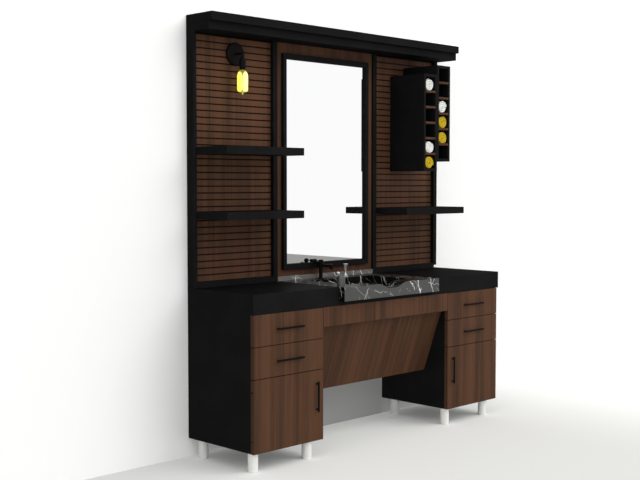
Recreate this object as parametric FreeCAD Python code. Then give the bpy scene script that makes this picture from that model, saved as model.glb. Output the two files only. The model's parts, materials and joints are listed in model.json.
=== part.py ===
import FreeCAD, Part
import math
import os

# A salon wall station: two pedestals of drawers and a cupboard, a boxed worktop with a marble
# neck-wash basin between them, and a slatted back wall with mirror, shelves, towel rack, lamp
# and cornice. Millimetres, +Z up, the front faces -Y, and the origin is on the floor under the
# middle of the whole station. Pieces are laid out by three distances: from the left end,
# out from the wall, and up from the floor.

# ---- overall ----
overall_height = 2200.0
worktop_length = 1936.0
front_depth = 495.0          # wall to the faces of the doors and drawers
basin_overhang = 35.0        # basin front past those faces
board = 18.0                 # carcass and panel boards
soft_gap = 0.3               # between a soft thing and what it lies on
running_gap = 0.05           # radial, a pin or stem turning or sliding in its bore
screw_gap = 0.2              # radial, a screw or pin in its hole

# ---- pedestals ----
leg_height = 94.0
leg_radius = 25.0
leg_from_left = 35.0         # leg centres, from the pedestal's left and right sides
leg_from_right = 70.0
leg_front_inset = 47.0       # leg centres, behind the doors' faces and out from the wall
leg_back_inset = 75.0
leg_bolt_radius = 4.0
leg_bolt_grip = 30.0
leg_bolt_head_radius = 6.5
leg_bolt_head = 5.0
pedestal_width = 462.0
worktop_overhang_right = 16.0
back_thickness = 6.0
divider_setback = 25.0
fixing_rail_height = 100.0
wall_hole_radius = 4.0
wall_hole_inset = 60.0       # from the pedestal's inner sides

# ---- doors and drawers ----
front_thickness = 22.0
front_gap = 3.0              # between neighbouring fronts
carcass_gap = 2.5            # behind a closed front, enough for the door's back edge to turn
drawer_pitch = 153.5
drawer_count = 2
drawer_back_gap = 29.0       # from a drawer box to the fixing rail behind it
drawer_height = 100.0
drawer_lift = 15.0           # box above its front's lower edge
drawer_side = 15.0
drawer_bottom = 8.0
runner_space = 12.7          # each side of a drawer box
fixed_runner = 6.0
runner_gap = 0.35
runner_height = 35.0
handle_gap = 11.0            # finger space behind a handle
handle_thickness = 7.0
handle_height = 11.0
handle_post_radius = 4.0
handle_post_inset = 12.5
drawer_handle_length = 176.0
door_handle_length = 153.0
door_handle_inset = 45.0     # from the door's free edge
door_handle_drop = 55.0      # handle top below the door's top edge
handle_screw_radius = 2.0
handle_screw_grip = 8.0
handle_screw_head_radius = 4.0
handle_screw_head = 2.5

# ---- door pivots ----
pivot_inset = 6.5            # pivot axis from the door's outer edge
pivot_pin_radius = 3.0
pivot_pin_reach = 12.0       # above and below the bracket arm
pivot_from_end = 60.0
bracket_plate = 3.0
bracket_arm_half = 5.0
bracket_leaf_length = 40.0
bracket_leaf_height = 40.0
bracket_gap = 0.5            # between the arm and its slot in the door

# ---- worktop, apron and service panel ----
worktop_height = 850.0
worktop_thickness = 95.0
apron_height = 98.0
service_bottom = 302.0
service_behind_apron = 12.0
service_slope = 140.0        # how far its foot is set back from its top
service_below_bowl = 15.0

# ---- basin ----
basin_from_left = 580.0
basin_length = 754.0
basin_height = 72.5
basin_side_rim = 137.0
basin_back_deck = 73.0
basin_front_rim = 90.0
bowl_depth = 120.0
bowl_wall = 15.0
support_gap = 0.5            # between the bowl's walls and the worktop strips round it
notch_depth = 26.0
notch_from_side = 258.0      # from the basin's left side, then its fall, flat and rise
notch_fall = 89.0
notch_flat = 37.0
notch_rise = 106.0
upstand_thickness = 12.0
upstand_height = 26.0
drain_radius = 22.0
drain_wall = 3.0
drain_flange_radius = 32.0
drain_flange = 2.0
drain_length = 70.0
tail_radius = 16.0
tail_length = 60.0
spider_bar = 8.0             # crossbar inside the drain that guides the plug's stem
plug_radius = 27.0
plug_thickness = 6.0
plug_stem_radius = 4.0
plug_travel = 10.0
trap_radius = 30.0
trap_bottle = 110.0
trap_neck = 20.0
trap_neck_wall = 5.0
trap_pipe_drop = 38.0        # outlet pipe's axis below the bottle's top
trap_pipe_radius = 16.0
trap_pipe_bore = 14.0
trap_nut_radius = 22.0
trap_nut_length = 18.0       # clear of the bottle, along the outlet pipe

# ---- taps ----
shank_radius = 8.0
shank_nut_radius = 13.0
shank_nut = 8.0
shank_tail = 20.0            # thread left below the nut for a supply hose
mixer_from_side = 278.0      # from the basin's left side and the deck's back edge
mixer_from_back = 27.0
mixer_flange_radius = 17.0
mixer_flange = 5.0
mixer_radius = 11.0
mixer_column = 58.0
mixer_spigot_radius = 6.0
spout_hub_radius = 13.0
spout_hub = 26.0
spout_radius = 8.0
spout_reach = 80.0
spout_drop = 15.0            # spout axis below the hub's top
nozzle_radius = 9.0
nozzle_length = 20.0
cap_height = 14.0
cap_floor = 2.0
cap_spigot_depth = 1.5
turning_gap = 0.3            # between faces that turn on each other
lever_blade = 7.0
lever_blade_gap = 0.3
lever_depth = 7.0
lever_floor_gap = 1.3        # under the blade, so that it can tip
lever_rod_radius = 3.0
lever_length = 46.0
lever_knob_radius = 13.0
lever_pin_radius = 2.0
lift_from_side = 395.0
lift_from_back = 44.0
lift_knob_radius = 12.0
lift_knob_height = 20.0
lift_ring_radius = 10.0
lift_ring = 12.0
lift_rod_radius = 3.0
lift_rod_below = 40.0
spray_from_side = 455.0
spray_from_back = 44.0
spray_socket_radius = 15.0
spray_socket = 10.0
spray_stem_radius = 5.0
spray_stem = 43.0
spray_flare_radius = 15.0
spray_flare = 30.0
spray_plug_depth = 62.0
spray_collar = 3.0
breaker_from_side = 26.0
breaker_from_front = 50.0
breaker_radius = 21.0
breaker_height = 59.0
breaker_dome = 12.0

# ---- back wall ----
left_post = 18.0
left_bay = 513.0
middle_post = 30.0
centre_bay = 751.0
right_bay = 525.0
right_post = 30.0
post_depth = 57.0
slat_thickness = 18.0
bottom_rail_height = 30.0
right_post_lift = 20.0       # right post stands on the end of the bottom rail
right_rail_tongue = 7.0
slat_count = 36
slat_groove = 3.5
slat_groove_depth = 4.0
slat_top_gap = 4.0
batten_width = 60.0
batten_thickness = 9.0
batten_count = 4

# ---- cornice ----
cornice_overhang_right = 28.0    # past the right post
cornice_board = 41.5
cornice_upper_depth = 200.0
cornice_lower_depth = 179.0

# ---- shelves ----
shelf_depth = 254.0
shelf_thickness = 38.5
shelf_below_cornice = 564.5
shelf_spacing = 320.0
shelf_pin_radius = 5.0
shelf_pin_inset = 90.0
shelf_pin_depth = 100.0

# ---- mirror ----
mirror_left_gap = 37.0       # frame to the middle posts, the worktop and the cornice
mirror_right_gap = 48.0
mirror_above_worktop = 61.0
mirror_below_cornice = 56.0
mirror_stile = 23.0
mirror_rail = 29.0
mirror_frame_depth = 20.0
mirror_glass = 5.0
mirror_rebate = 12.0         # how far the glass reaches under the frame
mirror_glass_gap = 1.0

# ---- towel rack ----
rack_side_gap = 141.0        # from the middle post
rack_width = 119.0
rack_depth = 259.0
rack_board = 16.0
rack_back = 6.0
rack_shelf = 12.0
rack_cell = 77.33
rack_cell_count = 6
rack_below_cornice = 60.0
rack_step = 57.0             # the right column stands higher by this much
rack_screw_radius = 2.5
rack_screw_head_radius = 5.0
rack_screw_head = 3.0
rack_screw_reach = 30.0
towel_headroom = 7.33
towel_setback = 15.0
towel_back_gap = 10.0
white_cells = ((0, rack_cell_count - 1), (0, 1), (1, 3))     # column, cell from the bottom
yellow_cells = ((0, 0), (1, 2), (1, 1))

# ---- lamp ----
lamp_from_left = 283.0
lamp_below_cornice = 88.0
lamp_plate_radius = 57.5
lamp_plate = 12.0
lamp_reach = 61.0            # bulb axis out from the slats
lamp_arm_radius = 6.0
lamp_elbow_radius = 9.0
lamp_elbow_width = 16.0
lamp_socket_radius = 16.5
lamp_socket_drop = 20.0      # socket top below the plate's centre
lamp_socket_length = 65.0
bulb_radius = 30.0
bulb_length = 112.0
bulb_neck_radius = 13.0
bulb_neck = 16.0
bulb_shoulder = 30.0
bulb_base_round = 12.0
bulb_pip = 13.0
bulb_pip_radius = 5.0

# ---- places that follow from the sizes ----
left_x = -worktop_length / 2
wall_y = (front_depth + basin_overhang) / 2
pedestal_top = worktop_height - worktop_thickness
right_pedestal = worktop_length - worktop_overhang_right - pedestal_width
pedestals = {"left": 0.0, "right": right_pedestal}
front_back_out = front_depth - front_thickness
carcass_depth = front_back_out - carcass_gap
fixing_rail_front = back_thickness + board
drawer_back_out = fixing_rail_front + drawer_back_gap
door_top = pedestal_top - drawer_count * drawer_pitch
basin_end = basin_from_left + basin_length
basin_under = worktop_height - basin_height
basin_front_out = front_depth + basin_overhang
deck_back_out = post_depth
bowl_from_left = basin_from_left + basin_side_rim
bowl_end = basin_end - basin_side_rim
bowl_back_out = deck_back_out + basin_back_deck
bowl_front_out = basin_front_out - basin_front_rim
bowl_floor = worktop_height - bowl_depth
bowl_under = bowl_floor - bowl_wall
drain_from_left = (bowl_from_left + bowl_end) / 2
drain_out = (bowl_back_out + bowl_front_out) / 2
cornice_under = overall_height - 2 * cornice_board
left_bay_start = left_post
centre_bay_start = left_bay_start + left_bay + middle_post
right_bay_start = centre_bay_start + centre_bay + middle_post
right_bay_end = right_bay_start + right_bay
wall_end = right_bay_end + right_post
cornice_length = wall_end + cornice_overhang_right
slat_bottom = worktop_height + bottom_rail_height
slat_pitch = (cornice_under - slat_top_gap - slat_bottom) / slat_count
slat_face_out = board + slat_thickness
centre_face_out = board + batten_thickness + board
upper_shelf_top = cornice_under - shelf_below_cornice
lower_shelf_top = upper_shelf_top - shelf_spacing
rack_height = 2 * rack_board + rack_cell_count * rack_cell + (rack_cell_count - 1) * rack_shelf
rack_bottom = cornice_under - rack_below_cornice - rack_step - rack_height
towel_radius = (rack_cell - towel_headroom) / 2
lamp_plate_height = cornice_under - lamp_below_cornice
lamp_socket_top = lamp_plate_height - lamp_socket_drop
mixer_from_left = basin_from_left + mixer_from_side
mixer_out = deck_back_out + mixer_from_back
lift_from_left = basin_from_left + lift_from_side
lift_out = deck_back_out + lift_from_back
spray_from_left = basin_from_left + spray_from_side
spray_out = deck_back_out + spray_from_back
breaker_from_left = basin_from_left + breaker_from_side
breaker_out = basin_front_out - breaker_from_front

parts = {}


def x_at(from_left):
    return left_x + from_left


def y_at(out):
    return wall_y - out


def block(from_left, to_left, out_near, out_far, low, high):
    """A rectangular piece between two distances along, two out from the wall and two heights."""
    corner = FreeCAD.Vector(x_at(from_left), y_at(out_far), low)
    return Part.makeBox(to_left - from_left, out_far - out_near, high - low, corner)


def upright(from_left, out, low, high, radius):
    base = FreeCAD.Vector(x_at(from_left), y_at(out), low)
    return Part.makeCylinder(radius, high - low, base, FreeCAD.Vector(0, 0, 1))


def outward(from_left, height, out_near, out_far, radius):
    base = FreeCAD.Vector(x_at(from_left), y_at(out_near), height)
    return Part.makeCylinder(radius, out_far - out_near, base, FreeCAD.Vector(0, -1, 0))


def turned(from_left, out, profile):
    """A solid turned about an upright axis, from (radius, height) points that start and end on it."""
    points = [FreeCAD.Vector(x_at(from_left) + radius, y_at(out), height) for radius, height in profile]
    face = Part.Face(Part.makePolygon(points + points[:1]))
    axis = FreeCAD.Vector(x_at(from_left), y_at(out), 0)
    return face.revolve(axis, FreeCAD.Vector(0, 0, 1), 360)


def prism(outline, from_left, to_left):
    """An outline of (out, height) points, carried along from one distance to another."""
    points = [FreeCAD.Vector(x_at(from_left), y_at(out), height) for out, height in outline]
    face = Part.Face(Part.makePolygon(points + points[:1]))
    return face.extrude(FreeCAD.Vector(to_left - from_left, 0, 0))


def less(solid, holes):
    for hole in holes:
        solid = solid.cut(hole)
    return solid


def put(name, *solids):
    parts.setdefault(name, []).extend(solids)


# ---- pedestals ----

def leg_places(start):
    end = start + pedestal_width
    columns = (start + leg_from_left, end - leg_from_right)
    rows = (leg_back_inset, front_depth - leg_front_inset)
    return [(along, out) for along in columns for out in rows]


def pedestal(start):
    end = start + pedestal_width
    inner, outer = start + board, end - board
    low, high = leg_height, pedestal_top
    put("cabinet_sides", block(start, inner, 0, carcass_depth, low, high))
    put("cabinet_sides", block(outer, end, 0, carcass_depth, low, high))

    bolt_holes = []
    for along, out in leg_places(start):
        bolt_holes.append(upright(along, out, low, low + board, leg_bolt_radius + screw_gap))
    put("cabinet_decks", less(block(inner, outer, 0, carcass_depth, low, low + board), bolt_holes))
    put("cabinet_decks", block(inner, outer, 0, carcass_depth, high - board, high))
    divider_front = carcass_depth - divider_setback
    put("cabinet_decks", block(inner, outer, back_thickness, divider_front, door_top - board, door_top))

    rail_top = high - board
    rail_bottom = rail_top - fixing_rail_height
    hole_height = (rail_top + rail_bottom) / 2
    hole_places = (inner + wall_hole_inset, outer - wall_hole_inset)
    wall_holes = [outward(along, hole_height, 0, fixing_rail_front, wall_hole_radius)
                  for along in hole_places]
    put("cabinet_backs", less(block(inner, outer, 0, back_thickness, low + board, rail_top), wall_holes))
    rail = block(inner, outer, back_thickness, fixing_rail_front, rail_bottom, rail_top)
    put("cabinet_backs", less(rail, wall_holes))


def legs(start):
    bolt_bottom = leg_height - leg_bolt_grip
    head_bottom = leg_height + board
    for along, out in leg_places(start):
        leg = upright(along, out, 0, leg_height, leg_radius)
        bore = upright(along, out, bolt_bottom, leg_height, leg_bolt_radius + running_gap)
        shank = upright(along, out, bolt_bottom, head_bottom, leg_bolt_radius)
        head = upright(along, out, head_bottom, head_bottom + leg_bolt_head, leg_bolt_head_radius)
        put("cabinet_legs", leg.cut(bore))
        put("leg_bolts", shank.fuse(head))


# ---- handles ----

def handle_screws(places, inner_out):
    """Screws that hold a handle from inside, at (distance along, height) places."""
    screws = []
    for along, height in places:
        shank = outward(along, height, inner_out, front_depth + handle_screw_grip, handle_screw_radius)
        head_back = inner_out - handle_screw_head
        head = outward(along, height, head_back, inner_out, handle_screw_head_radius)
        screws.append(shank.fuse(head))
    return screws


def handle_holes(places, inner_out):
    end = front_depth + handle_screw_grip
    return [outward(along, height, inner_out, end, handle_screw_radius + screw_gap)
            for along, height in places]


def handle_posts(places, inner_out):
    """Round posts that hold the bar off the front, bored for the screws."""
    end = front_depth + handle_gap
    posts = [outward(along, height, front_depth, end, handle_post_radius) for along, height in places]
    return [less(post, handle_holes(places, inner_out)) for post in posts]


# ---- drawers ----

def drawer(side, start, index):
    name = side + ("_upper_drawer", "_lower_drawer")[index]
    end = start + pedestal_width
    front_top = pedestal_top - index * drawer_pitch - front_gap / 2
    front_bottom = front_top - drawer_pitch + front_gap
    middle, height = (start + end) / 2, (front_top + front_bottom) / 2

    left = start + board + runner_space
    right = end - board - runner_space
    low = front_bottom + drawer_lift
    high = low + drawer_height
    back = drawer_back_out
    inner_front = front_back_out - drawer_side
    post_reach = drawer_handle_length / 2 - handle_post_inset
    places = [(middle - post_reach, height), (middle + post_reach, height)]
    holes = handle_holes(places, inner_front)

    front = block(start, end, front_back_out, front_depth, front_bottom, front_top)
    put(name + "_front", less(front, holes))

    put(name + "_box", block(left, left + drawer_side, back, front_back_out, low, high))
    put(name + "_box", block(right - drawer_side, right, back, front_back_out, low, high))
    inner_left, inner_right = left + drawer_side, right - drawer_side
    box_front = block(inner_left, inner_right, inner_front, front_back_out, low, high)
    put(name + "_box", less(box_front, holes))
    put(name + "_box", block(inner_left, inner_right, back, back + drawer_side, low, high))
    bottom_back = back + drawer_side
    bottom_top = low + drawer_bottom
    put(name + "_box", block(inner_left, inner_right, bottom_back, inner_front, low, bottom_top))

    runner_low = (low + high - runner_height) / 2
    runner_high = runner_low + runner_height
    slide = runner_space - fixed_runner - runner_gap
    put(name + "_box", block(left - slide, left, back, front_back_out, runner_low, runner_high))
    put(name + "_box", block(right, right + slide, back, front_back_out, runner_low, runner_high))
    inner, outer = start + board, end - board
    put("cabinet_runners", block(inner, inner + fixed_runner, back, carcass_depth, runner_low, runner_high))
    put("cabinet_runners", block(outer - fixed_runner, outer, back, carcass_depth, runner_low, runner_high))

    bar_back = front_depth + handle_gap
    half = handle_height / 2
    reach = drawer_handle_length / 2
    bar = block(middle - reach, middle + reach, bar_back, bar_back + handle_thickness,
                height - half, height + half)
    put(name + "_handle", bar, *handle_posts(places, inner_front), *handle_screws(places, inner_front))


# ---- doors ----

def span(edge, inward, near, far):
    """Two distances inward from a door's hinged edge, in rising order."""
    return sorted((edge + inward * near, edge + inward * far))


def pivot_out():
    return front_back_out + front_thickness / 2


def pivot_heights():
    return (leg_height + pivot_from_end, door_top - front_gap / 2 - pivot_from_end)


def hinge_bracket(edge, inward, height):
    """A leaf on the cabinet side, an arm that reaches into the door, and the pivot pin on it."""
    arm_low, arm_high = height - bracket_plate / 2, height + bracket_plate / 2
    arm_end = board + 2 * bracket_plate
    arm_front = pivot_out() + bracket_arm_half
    arm_back = pivot_out() - bracket_arm_half
    leaf_low = height - bracket_leaf_height / 2
    leaf_back = carcass_depth - bracket_leaf_length
    leaf = block(*span(edge, inward, board, board + bracket_plate), leaf_back, carcass_depth,
                 leaf_low, leaf_low + bracket_leaf_height)
    neck_back = carcass_depth - bracket_leaf_length / 4
    neck = block(*span(edge, inward, board, arm_end), neck_back, arm_front, arm_low, arm_high)
    arm = block(*span(edge, inward, pivot_inset, arm_end), arm_back, arm_front, arm_low, arm_high)
    pivot = edge + inward * pivot_inset
    eye = upright(pivot, pivot_out(), arm_low, arm_high, bracket_arm_half)
    pin = upright(pivot, pivot_out(), height - pivot_pin_reach, height + pivot_pin_reach, pivot_pin_radius)
    return leaf.fuse([neck, arm, eye, pin]).removeSplitter()


def door(side, start, edge, inward):
    low, high = leg_height, door_top - front_gap / 2
    leaf = block(start, start + pedestal_width, front_back_out, front_depth, low, high)
    slot_half = bracket_plate / 2 + bracket_gap
    slot_front = pivot_out() + bracket_arm_half + bracket_gap
    swing = math.hypot(board + 2 * bracket_plate - pivot_inset, pivot_out() - carcass_depth)
    slot_end = pivot_inset + swing + bracket_gap
    pivot = edge + inward * pivot_inset
    pin_reach = pivot_pin_reach + bracket_gap
    for height in pivot_heights():
        slot = block(*span(edge, inward, 0, slot_end), front_back_out, slot_front,
                     height - slot_half, height + slot_half)
        bore = upright(pivot, pivot_out(), height - pin_reach, height + pin_reach,
                       pivot_pin_radius + running_gap)
        leaf = leaf.cut(slot).cut(bore)
        put("door_hinges", hinge_bracket(edge, inward, height))

    free_edge = edge + inward * pedestal_width
    along = free_edge - inward * door_handle_inset
    top = high - door_handle_drop
    bottom = top - door_handle_length
    places = [(along, bottom + handle_post_inset), (along, top - handle_post_inset)]
    bar_back = front_depth + handle_gap
    half = handle_height / 2
    bar = block(along - half, along + half, bar_back, bar_back + handle_thickness, bottom, top)
    put(side + "_door", less(leaf, handle_holes(places, front_back_out)))
    put(side + "_door_handle", bar, *handle_posts(places, front_back_out),
        *handle_screws(places, front_back_out))


# ---- worktop, apron and service panel ----

def boxed_top(start, end):
    """One hollow length of the worktop, made of six boards."""
    low, high = pedestal_top, worktop_height
    floor, ceiling = low + board, high - board
    inner, outer = start + board, end - board
    put("worktop", block(start, end, 0, front_depth, ceiling, high))
    put("worktop", block(start, end, 0, front_depth, low, floor))
    put("worktop", block(start, inner, 0, front_depth, floor, ceiling))
    put("worktop", block(outer, end, 0, front_depth, floor, ceiling))
    put("worktop", block(inner, outer, 0, board, floor, ceiling))
    put("worktop", block(inner, outer, front_depth - board, front_depth, floor, ceiling))


def worktop():
    boxed_top(0, basin_from_left)
    boxed_top(basin_end, worktop_length)
    put("worktop", block(basin_from_left, basin_end, 0, deck_back_out, pedestal_top, worktop_height))


def basin_support(tap_holes):
    """Four strips under the basin. The front one shows as a lip below the marble."""
    low, high = pedestal_top, basin_under
    left = bowl_from_left - bowl_wall - support_gap
    right = bowl_end + bowl_wall + support_gap
    back = bowl_back_out - bowl_wall - support_gap
    front = bowl_front_out + bowl_wall + support_gap
    put("basin_support", block(basin_from_left, basin_end, front, front_depth, low, high))
    put("basin_support", block(basin_from_left, left, deck_back_out, front, low, high))
    put("basin_support", block(right, basin_end, deck_back_out, front, low, high))
    put("basin_support", less(block(left, right, deck_back_out, back, low, high), tap_holes))


def apron():
    start = pedestal_width + front_gap
    end = right_pedestal - front_gap
    low = pedestal_top - apron_height
    put("apron", block(start, end, front_depth - board, front_depth, low, pedestal_top))


def service_panel():
    top = bowl_under - service_below_bowl
    top_out = front_depth - board - service_behind_apron
    bottom_out = top_out - service_slope
    run, rise = service_slope, top - service_bottom
    length = math.hypot(run, rise)
    back, lift = board * rise / length, board * run / length
    outline = [(bottom_out, service_bottom), (top_out, top),
               (top_out - back, top + lift), (bottom_out - back, service_bottom + lift)]
    put("service_panel", prism(outline, pedestal_width, right_pedestal))


# ---- basin ----

def s_bend(start, end):
    """Two tangent arcs between two (distance along, height) points, level at both ends."""
    run, fall = end[0] - start[0], end[1] - start[1]
    radius = (run * run + fall * fall) / (4 * abs(fall))
    down = math.copysign(1.0, fall)
    half_turn = math.asin(abs(run) / 2 / radius) / 2
    sag_along = math.copysign(radius * math.sin(half_turn), run)
    sag_height = down * radius * (1 - math.cos(half_turn))
    middle = (start[0] + run / 2, start[1] + fall / 2)
    first = (start[0] + sag_along, start[1] + sag_height)
    second = (end[0] - sag_along, end[1] - sag_height)
    return [(start, first, middle), (middle, second, end)]


def neck_notch():
    """The dip in the basin's front rim where a client's neck rests."""
    top, bottom = worktop_height, worktop_height - notch_depth
    above = top + notch_depth
    left = basin_from_left + notch_from_side
    flat_left = left + notch_fall
    flat_right = flat_left + notch_flat
    right = flat_right + notch_rise

    def point(place):
        return FreeCAD.Vector(x_at(place[0]), y_at(basin_front_out), place[1])

    falling = s_bend((left, top), (flat_left, bottom))
    rising = s_bend((flat_right, bottom), (right, top))
    edges = [Part.Arc(*map(point, bend)).toShape() for bend in falling]
    edges.append(Part.makeLine(point((flat_left, bottom)), point((flat_right, bottom))))
    edges += [Part.Arc(*map(point, bend)).toShape() for bend in rising]
    edges.append(Part.makeLine(point((right, top)), point((right, above))))
    edges.append(Part.makeLine(point((right, above)), point((left, above))))
    edges.append(Part.makeLine(point((left, above)), point((left, top))))
    return Part.Face(Part.Wire(edges)).extrude(FreeCAD.Vector(0, basin_front_rim, 0))


def tap_places():
    """Distance along, distance out and shank radius of each thing that stands on the back deck."""
    return ((mixer_from_left, mixer_out, shank_radius),
            (lift_from_left, lift_out, lift_rod_radius),
            (spray_from_left, spray_out, shank_radius))


def basin():
    low, high = basin_under, worktop_height
    tap_holes = [upright(along, out, pedestal_top, high, radius + screw_gap)
                 for along, out, radius in tap_places()]
    basin_support(tap_holes)

    rim = block(basin_from_left, basin_end, bowl_front_out, basin_front_out, low, high)
    breaker_hole = upright(breaker_from_left, breaker_out, low, high, shank_radius + screw_gap)
    put("basin_front_rim", rim.cut(neck_notch()).cut(breaker_hole))
    put("basin_deck", block(basin_from_left, bowl_from_left, deck_back_out, bowl_front_out, low, high))
    put("basin_deck", block(bowl_end, basin_end, deck_back_out, bowl_front_out, low, high))
    back_deck = block(bowl_from_left, bowl_end, deck_back_out, bowl_back_out, low, high)
    put("basin_deck", less(back_deck, tap_holes))

    left, right = bowl_from_left - bowl_wall, bowl_end + bowl_wall
    back, front = bowl_back_out - bowl_wall, bowl_front_out + bowl_wall
    drain_hole = upright(drain_from_left, drain_out, bowl_under, bowl_floor, drain_radius + screw_gap)
    put("basin_bowl", block(left, right, back, front, bowl_under, bowl_floor).cut(drain_hole))
    put("basin_bowl", block(left, right, back, bowl_back_out, bowl_floor, low))
    put("basin_bowl", block(left, right, bowl_front_out, front, bowl_floor, low))
    put("basin_bowl", block(left, bowl_from_left, bowl_back_out, bowl_front_out, bowl_floor, low))
    put("basin_bowl", block(bowl_end, right, bowl_back_out, bowl_front_out, bowl_floor, low))

    upstand_out = centre_face_out + upstand_thickness
    upstand_end = centre_bay_start + centre_bay
    put("upstand", block(centre_bay_start, upstand_end, centre_face_out, upstand_out,
                         high, high + upstand_height))


def drain():
    flange_top = bowl_floor + drain_flange
    bottom = bowl_floor - drain_length
    tail_bottom = bottom - tail_length
    bore = drain_radius - drain_wall
    tail_bore = tail_radius - drain_wall
    profile = [(tail_bore, tail_bottom), (tail_radius, tail_bottom), (tail_radius, bottom),
               (drain_radius, bottom), (drain_radius, bowl_floor), (drain_flange_radius, bowl_floor),
               (drain_flange_radius, flange_top), (bore, flange_top), (bore, bottom + drain_wall),
               (tail_bore, bottom + drain_wall)]
    body = turned(drain_from_left, drain_out, profile)
    half = spider_bar / 2
    spider_low = bowl_under - spider_bar
    reach = bore + drain_wall / 2
    spider = block(drain_from_left - reach, drain_from_left + reach, drain_out - half - drain_wall,
                   drain_out + half + drain_wall, spider_low, spider_low + spider_bar)
    stem_bore = upright(drain_from_left, drain_out, spider_low, bowl_under, plug_stem_radius + running_gap)
    put("drain", body.fuse(spider).removeSplitter().cut(stem_bore))

    plug_low = flange_top + plug_travel
    plug_high = plug_low + plug_thickness
    stem_low = spider_low - plug_travel
    plug = [(0, stem_low), (plug_stem_radius, stem_low), (plug_stem_radius, plug_low),
            (plug_radius, plug_low), (plug_radius, plug_low + plug_thickness / 2),
            (plug_radius * 0.8, plug_high), (0, plug_high)]
    put("drain_plug", turned(drain_from_left, drain_out, plug))


def trap():
    """A bottle trap on the drain's tail, with its outlet pipe running back to the wall."""
    neck_top = bowl_floor - drain_length - drain_wall
    bottle_top = neck_top - trap_neck
    bottle_bottom = bottle_top - trap_bottle
    well_bottom = bottle_bottom + trap_neck_wall
    pipe_height = bottle_top - trap_pipe_drop
    neck_radius = tail_radius + trap_neck_wall
    bottle = upright(drain_from_left, drain_out, bottle_bottom, bottle_top, trap_radius)
    neck = upright(drain_from_left, drain_out, bottle_top, neck_top, neck_radius)
    pipe = outward(drain_from_left, pipe_height, 0, drain_out, trap_pipe_radius)
    well = upright(drain_from_left, drain_out, well_bottom, neck_top, tail_radius + running_gap)
    nut_out = drain_out - trap_radius - trap_nut_length
    nut = outward(drain_from_left, pipe_height, nut_out, drain_out, trap_nut_radius)
    passage = outward(drain_from_left, pipe_height, 0, drain_out, trap_pipe_bore)
    put("trap", bottle.fuse([neck, nut, pipe]).removeSplitter().cut(well).cut(passage))


# ---- taps ----

def shank(along, out, low, high):
    """A threaded tail through the deck, with its nut drawn up underneath."""
    stem = upright(along, out, low - shank_nut - shank_tail, high, shank_radius)
    nut = upright(along, out, low - shank_nut, low, shank_nut_radius)
    return stem.fuse(nut)


def ball_rod(root, ball, out, height):
    """A level rod from its root to a ball, turned as one piece about its own axis."""
    radius, thin = lever_knob_radius, lever_rod_radius
    neck = ball + math.sqrt(radius * radius - thin * thin)
    half = math.atan2(thin, neck - ball)
    bend = math.pi / 2 + half / 2

    def point(along, rise):
        return FreeCAD.Vector(x_at(along), y_at(out), height + rise)

    crown = point(ball + radius * math.cos(bend), radius * math.sin(bend))
    edges = [Part.Arc(point(ball - radius, 0), crown, point(neck, thin)).toShape(),
             Part.makeLine(point(neck, thin), point(root, thin)),
             Part.makeLine(point(root, thin), point(root, 0)),
             Part.makeLine(point(root, 0), point(ball - radius, 0))]
    return Part.Face(Part.Wire(edges)).revolve(point(ball, 0), FreeCAD.Vector(1, 0, 0), 360)


def mixer():
    along, out, deck = mixer_from_left, mixer_out, worktop_height
    column_top = deck + mixer_flange + mixer_column
    hub_low = column_top + turning_gap
    hub_high = hub_low + spout_hub
    cap_low = hub_high + turning_gap
    cap_high = cap_low + cap_height
    spigot_top = cap_low + cap_spigot_depth
    flange = upright(along, out, deck, deck + mixer_flange, mixer_flange_radius)
    column = upright(along, out, deck, column_top, mixer_radius)
    spigot = upright(along, out, column_top, spigot_top, mixer_spigot_radius)
    tail = shank(along, out, pedestal_top, deck)
    put("mixer_column", tail.fuse([flange, column, spigot]).removeSplitter())

    spigot_bore = upright(along, out, hub_low, spigot_top + turning_gap, mixer_spigot_radius + running_gap)
    hub = upright(along, out, hub_low, hub_high, spout_hub_radius)
    spout_height = hub_high - spout_drop
    tip_out = out + spout_reach
    arm = outward(along, spout_height, out, tip_out, spout_radius)
    nozzle = upright(along, tip_out, spout_height - nozzle_length, spout_height + nozzle_radius,
                     nozzle_radius)
    put("mixer_spout", hub.fuse([arm, nozzle]).removeSplitter().cut(spigot_bore))

    cap = upright(along, out, cap_low, cap_high, spout_hub_radius)
    slot_low = cap_low + cap_spigot_depth + turning_gap + cap_floor
    slot_half = lever_blade / 2 + lever_blade_gap
    slot_right = along + spout_hub_radius / 2
    slot = block(along - 2 * spout_hub_radius, slot_right, out - slot_half, out + slot_half,
                 slot_low, cap_high)
    lever_height = slot_low + lever_floor_gap + lever_depth / 2
    pin_bore = outward(along, lever_height, out - spout_hub_radius, out + spout_hub_radius,
                       lever_pin_radius + running_gap)
    put("mixer_cap", less(cap, [spigot_bore, slot, pin_bore]))

    blade_half = lever_blade / 2
    rise = lever_depth / 2
    blade = block(along - spout_hub_radius, along + rise, out - blade_half, out + blade_half,
                  lever_height - rise, lever_height + rise)
    pin_half = spout_hub_radius - lever_pin_radius
    pin = outward(along, lever_height, out - pin_half, out + pin_half, lever_pin_radius)
    stick = ball_rod(along - spout_hub_radius, along - lever_length, out, lever_height)
    put("mixer_lever", blade.fuse([pin, stick]).removeSplitter())


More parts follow.
